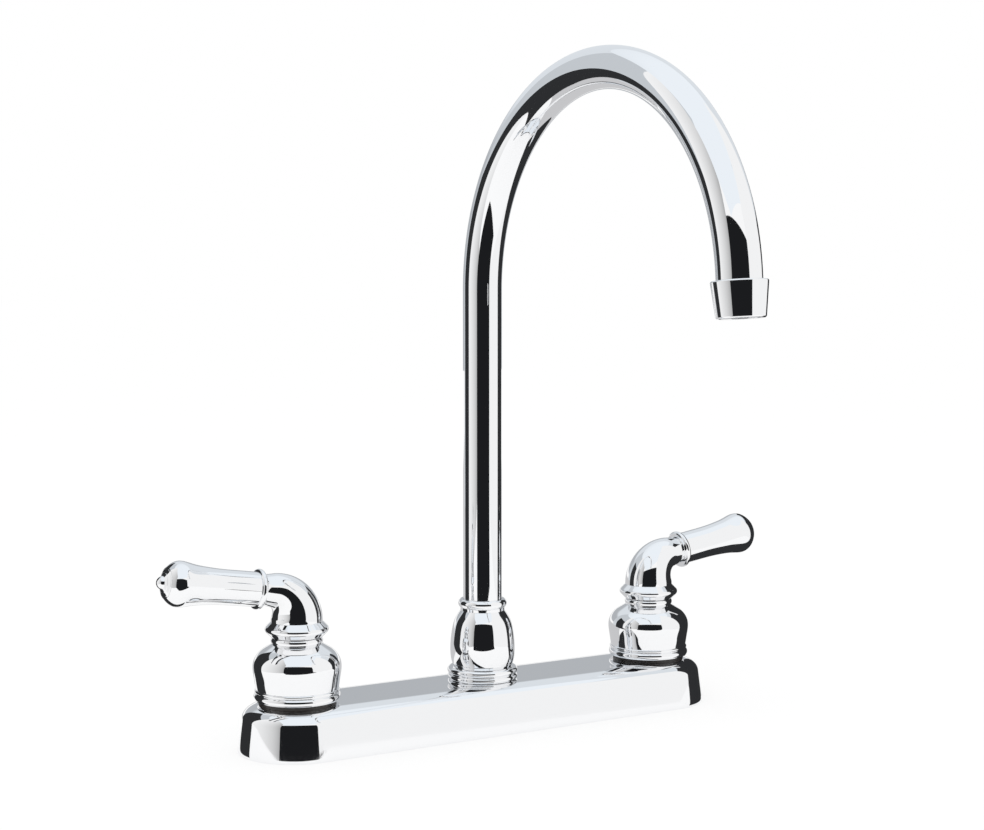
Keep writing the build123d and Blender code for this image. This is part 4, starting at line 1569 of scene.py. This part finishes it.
def near_card(name, start, end, height, glows, material):
    """Flat upright card on the floor between two places, with a glow at each."""
    feet = [floor_point(*start), floor_point(*end)]
    grid = [[(foot.x, foot.y, z) for foot in feet] for z in (0, height)]
    card(name, grid, [glows] * 2, material)


def floor_card(name, corners, height, glow, material):
    """Flat card just over the floor."""
    a, b, c, d = [(*floor_point(*corner).xy, height) for corner in corners]
    card(name, [[a, b], [d, c]], [[glow] * 2] * 2, material)


def make_cards(studio):
    """The white and dark cards that the chrome mirrors."""
    glow = glow_material()
    dark, side = tuple(studio.dark), tuple(studio.dark_side)
    rear, top, tent = tuple(studio.rear_grey), tuple(studio.top_grey), tuple(studio.tent_grey)
    dim, bright = ([part * share for part in top] for share in (0.78, 1.2))
    white = (studio.softbox,) * 3
    grey = (0.45 * studio.softbox,) * 3
    tints = {
        "dark_card_left": (side, side),
        "softbox_left": (white, grey),
        "dark_card_front": (dark, dark),
        "softbox_right": (white, white),
        "dark_card_right": (side, side),
    }
    for name, start, end, height in NEAR_CARDS:
        near_card(name, start, end, height, tints[name], glow)
    # the card behind glows in the floor's painted shade; the other floor cards are dark
    floor_tints = {"dark_floor_front": dark, "grey_floor_behind": tuple(studio.floor_shade_grey)}
    for k, (name, corners) in enumerate(FLOOR_CARDS):
        height = (0.8 - 0.1 * k) * MM  # no two cards at one height
        floor_card(name, corners, height, floor_tints.get(name, side), glow)
    rear_bands = ((0.13, rear), (0.42, rear), (0.56, top), (TENT_HEIGHT, top))
    left_bands = ((0.0, tent), (0.35, dim), (TENT_HEIGHT, dim))
    right_bands = ((0.0, tent), (TENT_HEIGHT, top))
    curtain("rear_card", REAR_CARD, rear_bands, glow)
    curtain("tent_left", TENT_LEFT, left_bands, glow)
    curtain("tent_right", TENT_RIGHT, right_bands, glow)
    sides = (OVERHEAD_ROWS[0], OVERHEAD_ROWS[-1])
    grid = [[(x, y, TENT_HEIGHT) for x in sides] for y in OVERHEAD_ROWS]
    card("overhead_card", grid, [[bright] * 2, [bright] * 2, [top] * 2], glow)


def make_floor(studio):
    """White floor that keeps a faint shadow of the faucet."""
    material = fresh(bpy.data.materials, "white_floor")
    tree = blank_tree(material)
    tint = (*studio.backdrop, 1)
    paper = add_node(tree, "ShaderNodeBsdfDiffuse", {"Color": tint})
    plain = add_node(tree, "ShaderNodeEmission", {"Color": tint, "Strength": 1.0})
    path = add_node(tree, "ShaderNodeLightPath")
    seen = calculate(tree, "MAXIMUM", path.outputs["Is Camera Ray"], path.outputs["Is Glossy Ray"])
    seen = calculate(tree, "MAXIMUM", seen, path.outputs["Is Transmission Ray"])
    part = calculate(tree, "MULTIPLY", seen, 0.72)  # the rest keeps the faucet's shadow
    mixed = add_node(
        tree, "ShaderNodeMixShader", {0: part, 1: paper.outputs[0], 2: plain.outputs[0]}
    )
    out = add_node(tree, "ShaderNodeOutputMaterial")
    tree.links.new(mixed.outputs[0], out.inputs["Surface"])
    mesh = bpy.data.meshes.new("floor")
    turns = ((-1, -1), (1, -1), (1, 1), (-1, 1))
    corners = [(x * FLOOR_REACH, y * FLOOR_REACH, 0) for x, y in turns]
    mesh.from_pydata(corners, [], [(0, 1, 2, 3)])
    add_stage("floor", mesh, material)


def make_world(studio):
    """Even pale light in the backdrop's colour."""
    world = fresh(bpy.data.worlds, "tent")
    tree = blank_tree(world)
    light = add_node(
        tree, "ShaderNodeBackground", {"Color": (*studio.backdrop, 1), "Strength": 1.0}
    )
    out = add_node(tree, "ShaderNodeOutputWorld")
    tree.links.new(light.outputs[0], out.inputs["Surface"])
    bpy.context.scene.world = world


def add_lamp(name, place, size, power):
    """Soft square lamp aimed at the faucet, not mirrored in the chrome."""
    lamp = fresh(bpy.data.lights, name, "AREA")
    lamp.size, lamp.energy = size, power
    item = fresh(bpy.data.objects, name, lamp)
    item.location = place
    aim = LAMP_AIM - Vector(place)
    item.rotation_euler = aim.to_track_quat("-Z", "Y").to_euler()
    item.visible_glossy = False
    bpy.context.scene.collection.objects.link(item)


def make_camera():
    """Camera at the photograph's place and lens."""
    camera = fresh(bpy.data.cameras, "camera")
    camera.lens = CAMERA_LENS
    camera.sensor_width = 36.0
    camera.sensor_fit = "HORIZONTAL"
    item = fresh(bpy.data.objects, "camera", camera)
    item.location = CAMERA_PLACE
    item.rotation_euler = [radians(angle) for angle in CAMERA_TURN]
    bpy.context.scene.collection.objects.link(item)
    bpy.context.scene.camera = item


class FAUCET_OT_studio(Operator):
    """Make the floor, the cards, the lamp and the camera"""

    bl_idname = "faucet.studio"
    bl_label = "Studio"

    def execute(self, context):
        studio = context.scene.faucet.studio
        make_floor(studio)
        make_cards(studio)
        make_world(studio)
        add_lamp("key_lamp", (-0.9, -0.7, 1.1), 0.8, studio.key_power)
        make_camera()
        context.scene.view_settings.view_transform = "Standard"
        return {"FINISHED"}


# ================================================================ panel and registration
class FAUCET_PT_pieces(Panel):
    """The faucet's pieces, sizes and colours"""

    bl_idname = "FAUCET_PT_pieces"
    bl_label = "Kitchen faucet"
    bl_space_type = "VIEW_3D"
    bl_region_type = "UI"
    bl_category = "Faucet"

    def draw(self, context):
        settings = context.scene.faucet
        for operator, group in PANEL_ROWS:
            box = self.layout.box()
            box.operator(operator)
            if group:
                sizes = getattr(settings, group)
                for name in sizes.__annotations__:
                    box.prop(sizes, name)


PANEL_ROWS = (
    ("faucet.finishes", "finish"),
    ("faucet.deck_cover", "deck"),
    ("faucet.bells", "bell"),
    ("faucet.handles", "handle"),
    ("faucet.spout_mount", "mount"),
    ("faucet.spout_tube", "spout"),
    ("faucet.aerator", None),
    ("faucet.inner_pieces", None),
    ("faucet.studio", "studio"),
)

CLASSES = (
    DeckSizes,
    BellSizes,
    HandleSizes,
    MountSizes,
    SpoutSizes,
    FinishColours,
    StudioSettings,
    FaucetSettings,
    FAUCET_OT_finishes,
    FAUCET_OT_deck_cover,
    FAUCET_OT_bells,
    FAUCET_OT_handles,
    FAUCET_OT_spout_mount,
    FAUCET_OT_spout_tube,
    FAUCET_OT_aerator,
    FAUCET_OT_inner_pieces,
    FAUCET_OT_studio,
    FAUCET_PT_pieces,
)


def register():
    """Adds the classes and the scene's settings."""
    for item in CLASSES:
        bpy.utils.register_class(item)
    bpy.types.Scene.faucet = PointerProperty(type=FaucetSettings)


def unregister():
    """Takes them out again."""
    del bpy.types.Scene.faucet
    for item in reversed(CLASSES):
        bpy.utils.unregister_class(item)


def main():
    """Builds the faucet and its studio."""
    register()
    bpy.ops.faucet.finishes()
    bpy.ops.faucet.deck_cover()
    bpy.ops.faucet.bells()
    bpy.ops.faucet.handles()
    bpy.ops.faucet.spout_mount()
    bpy.ops.faucet.spout_tube()
    bpy.ops.faucet.aerator()
    bpy.ops.faucet.inner_pieces()
    bpy.ops.faucet.studio()


if __name__ == "__main__":
    main()
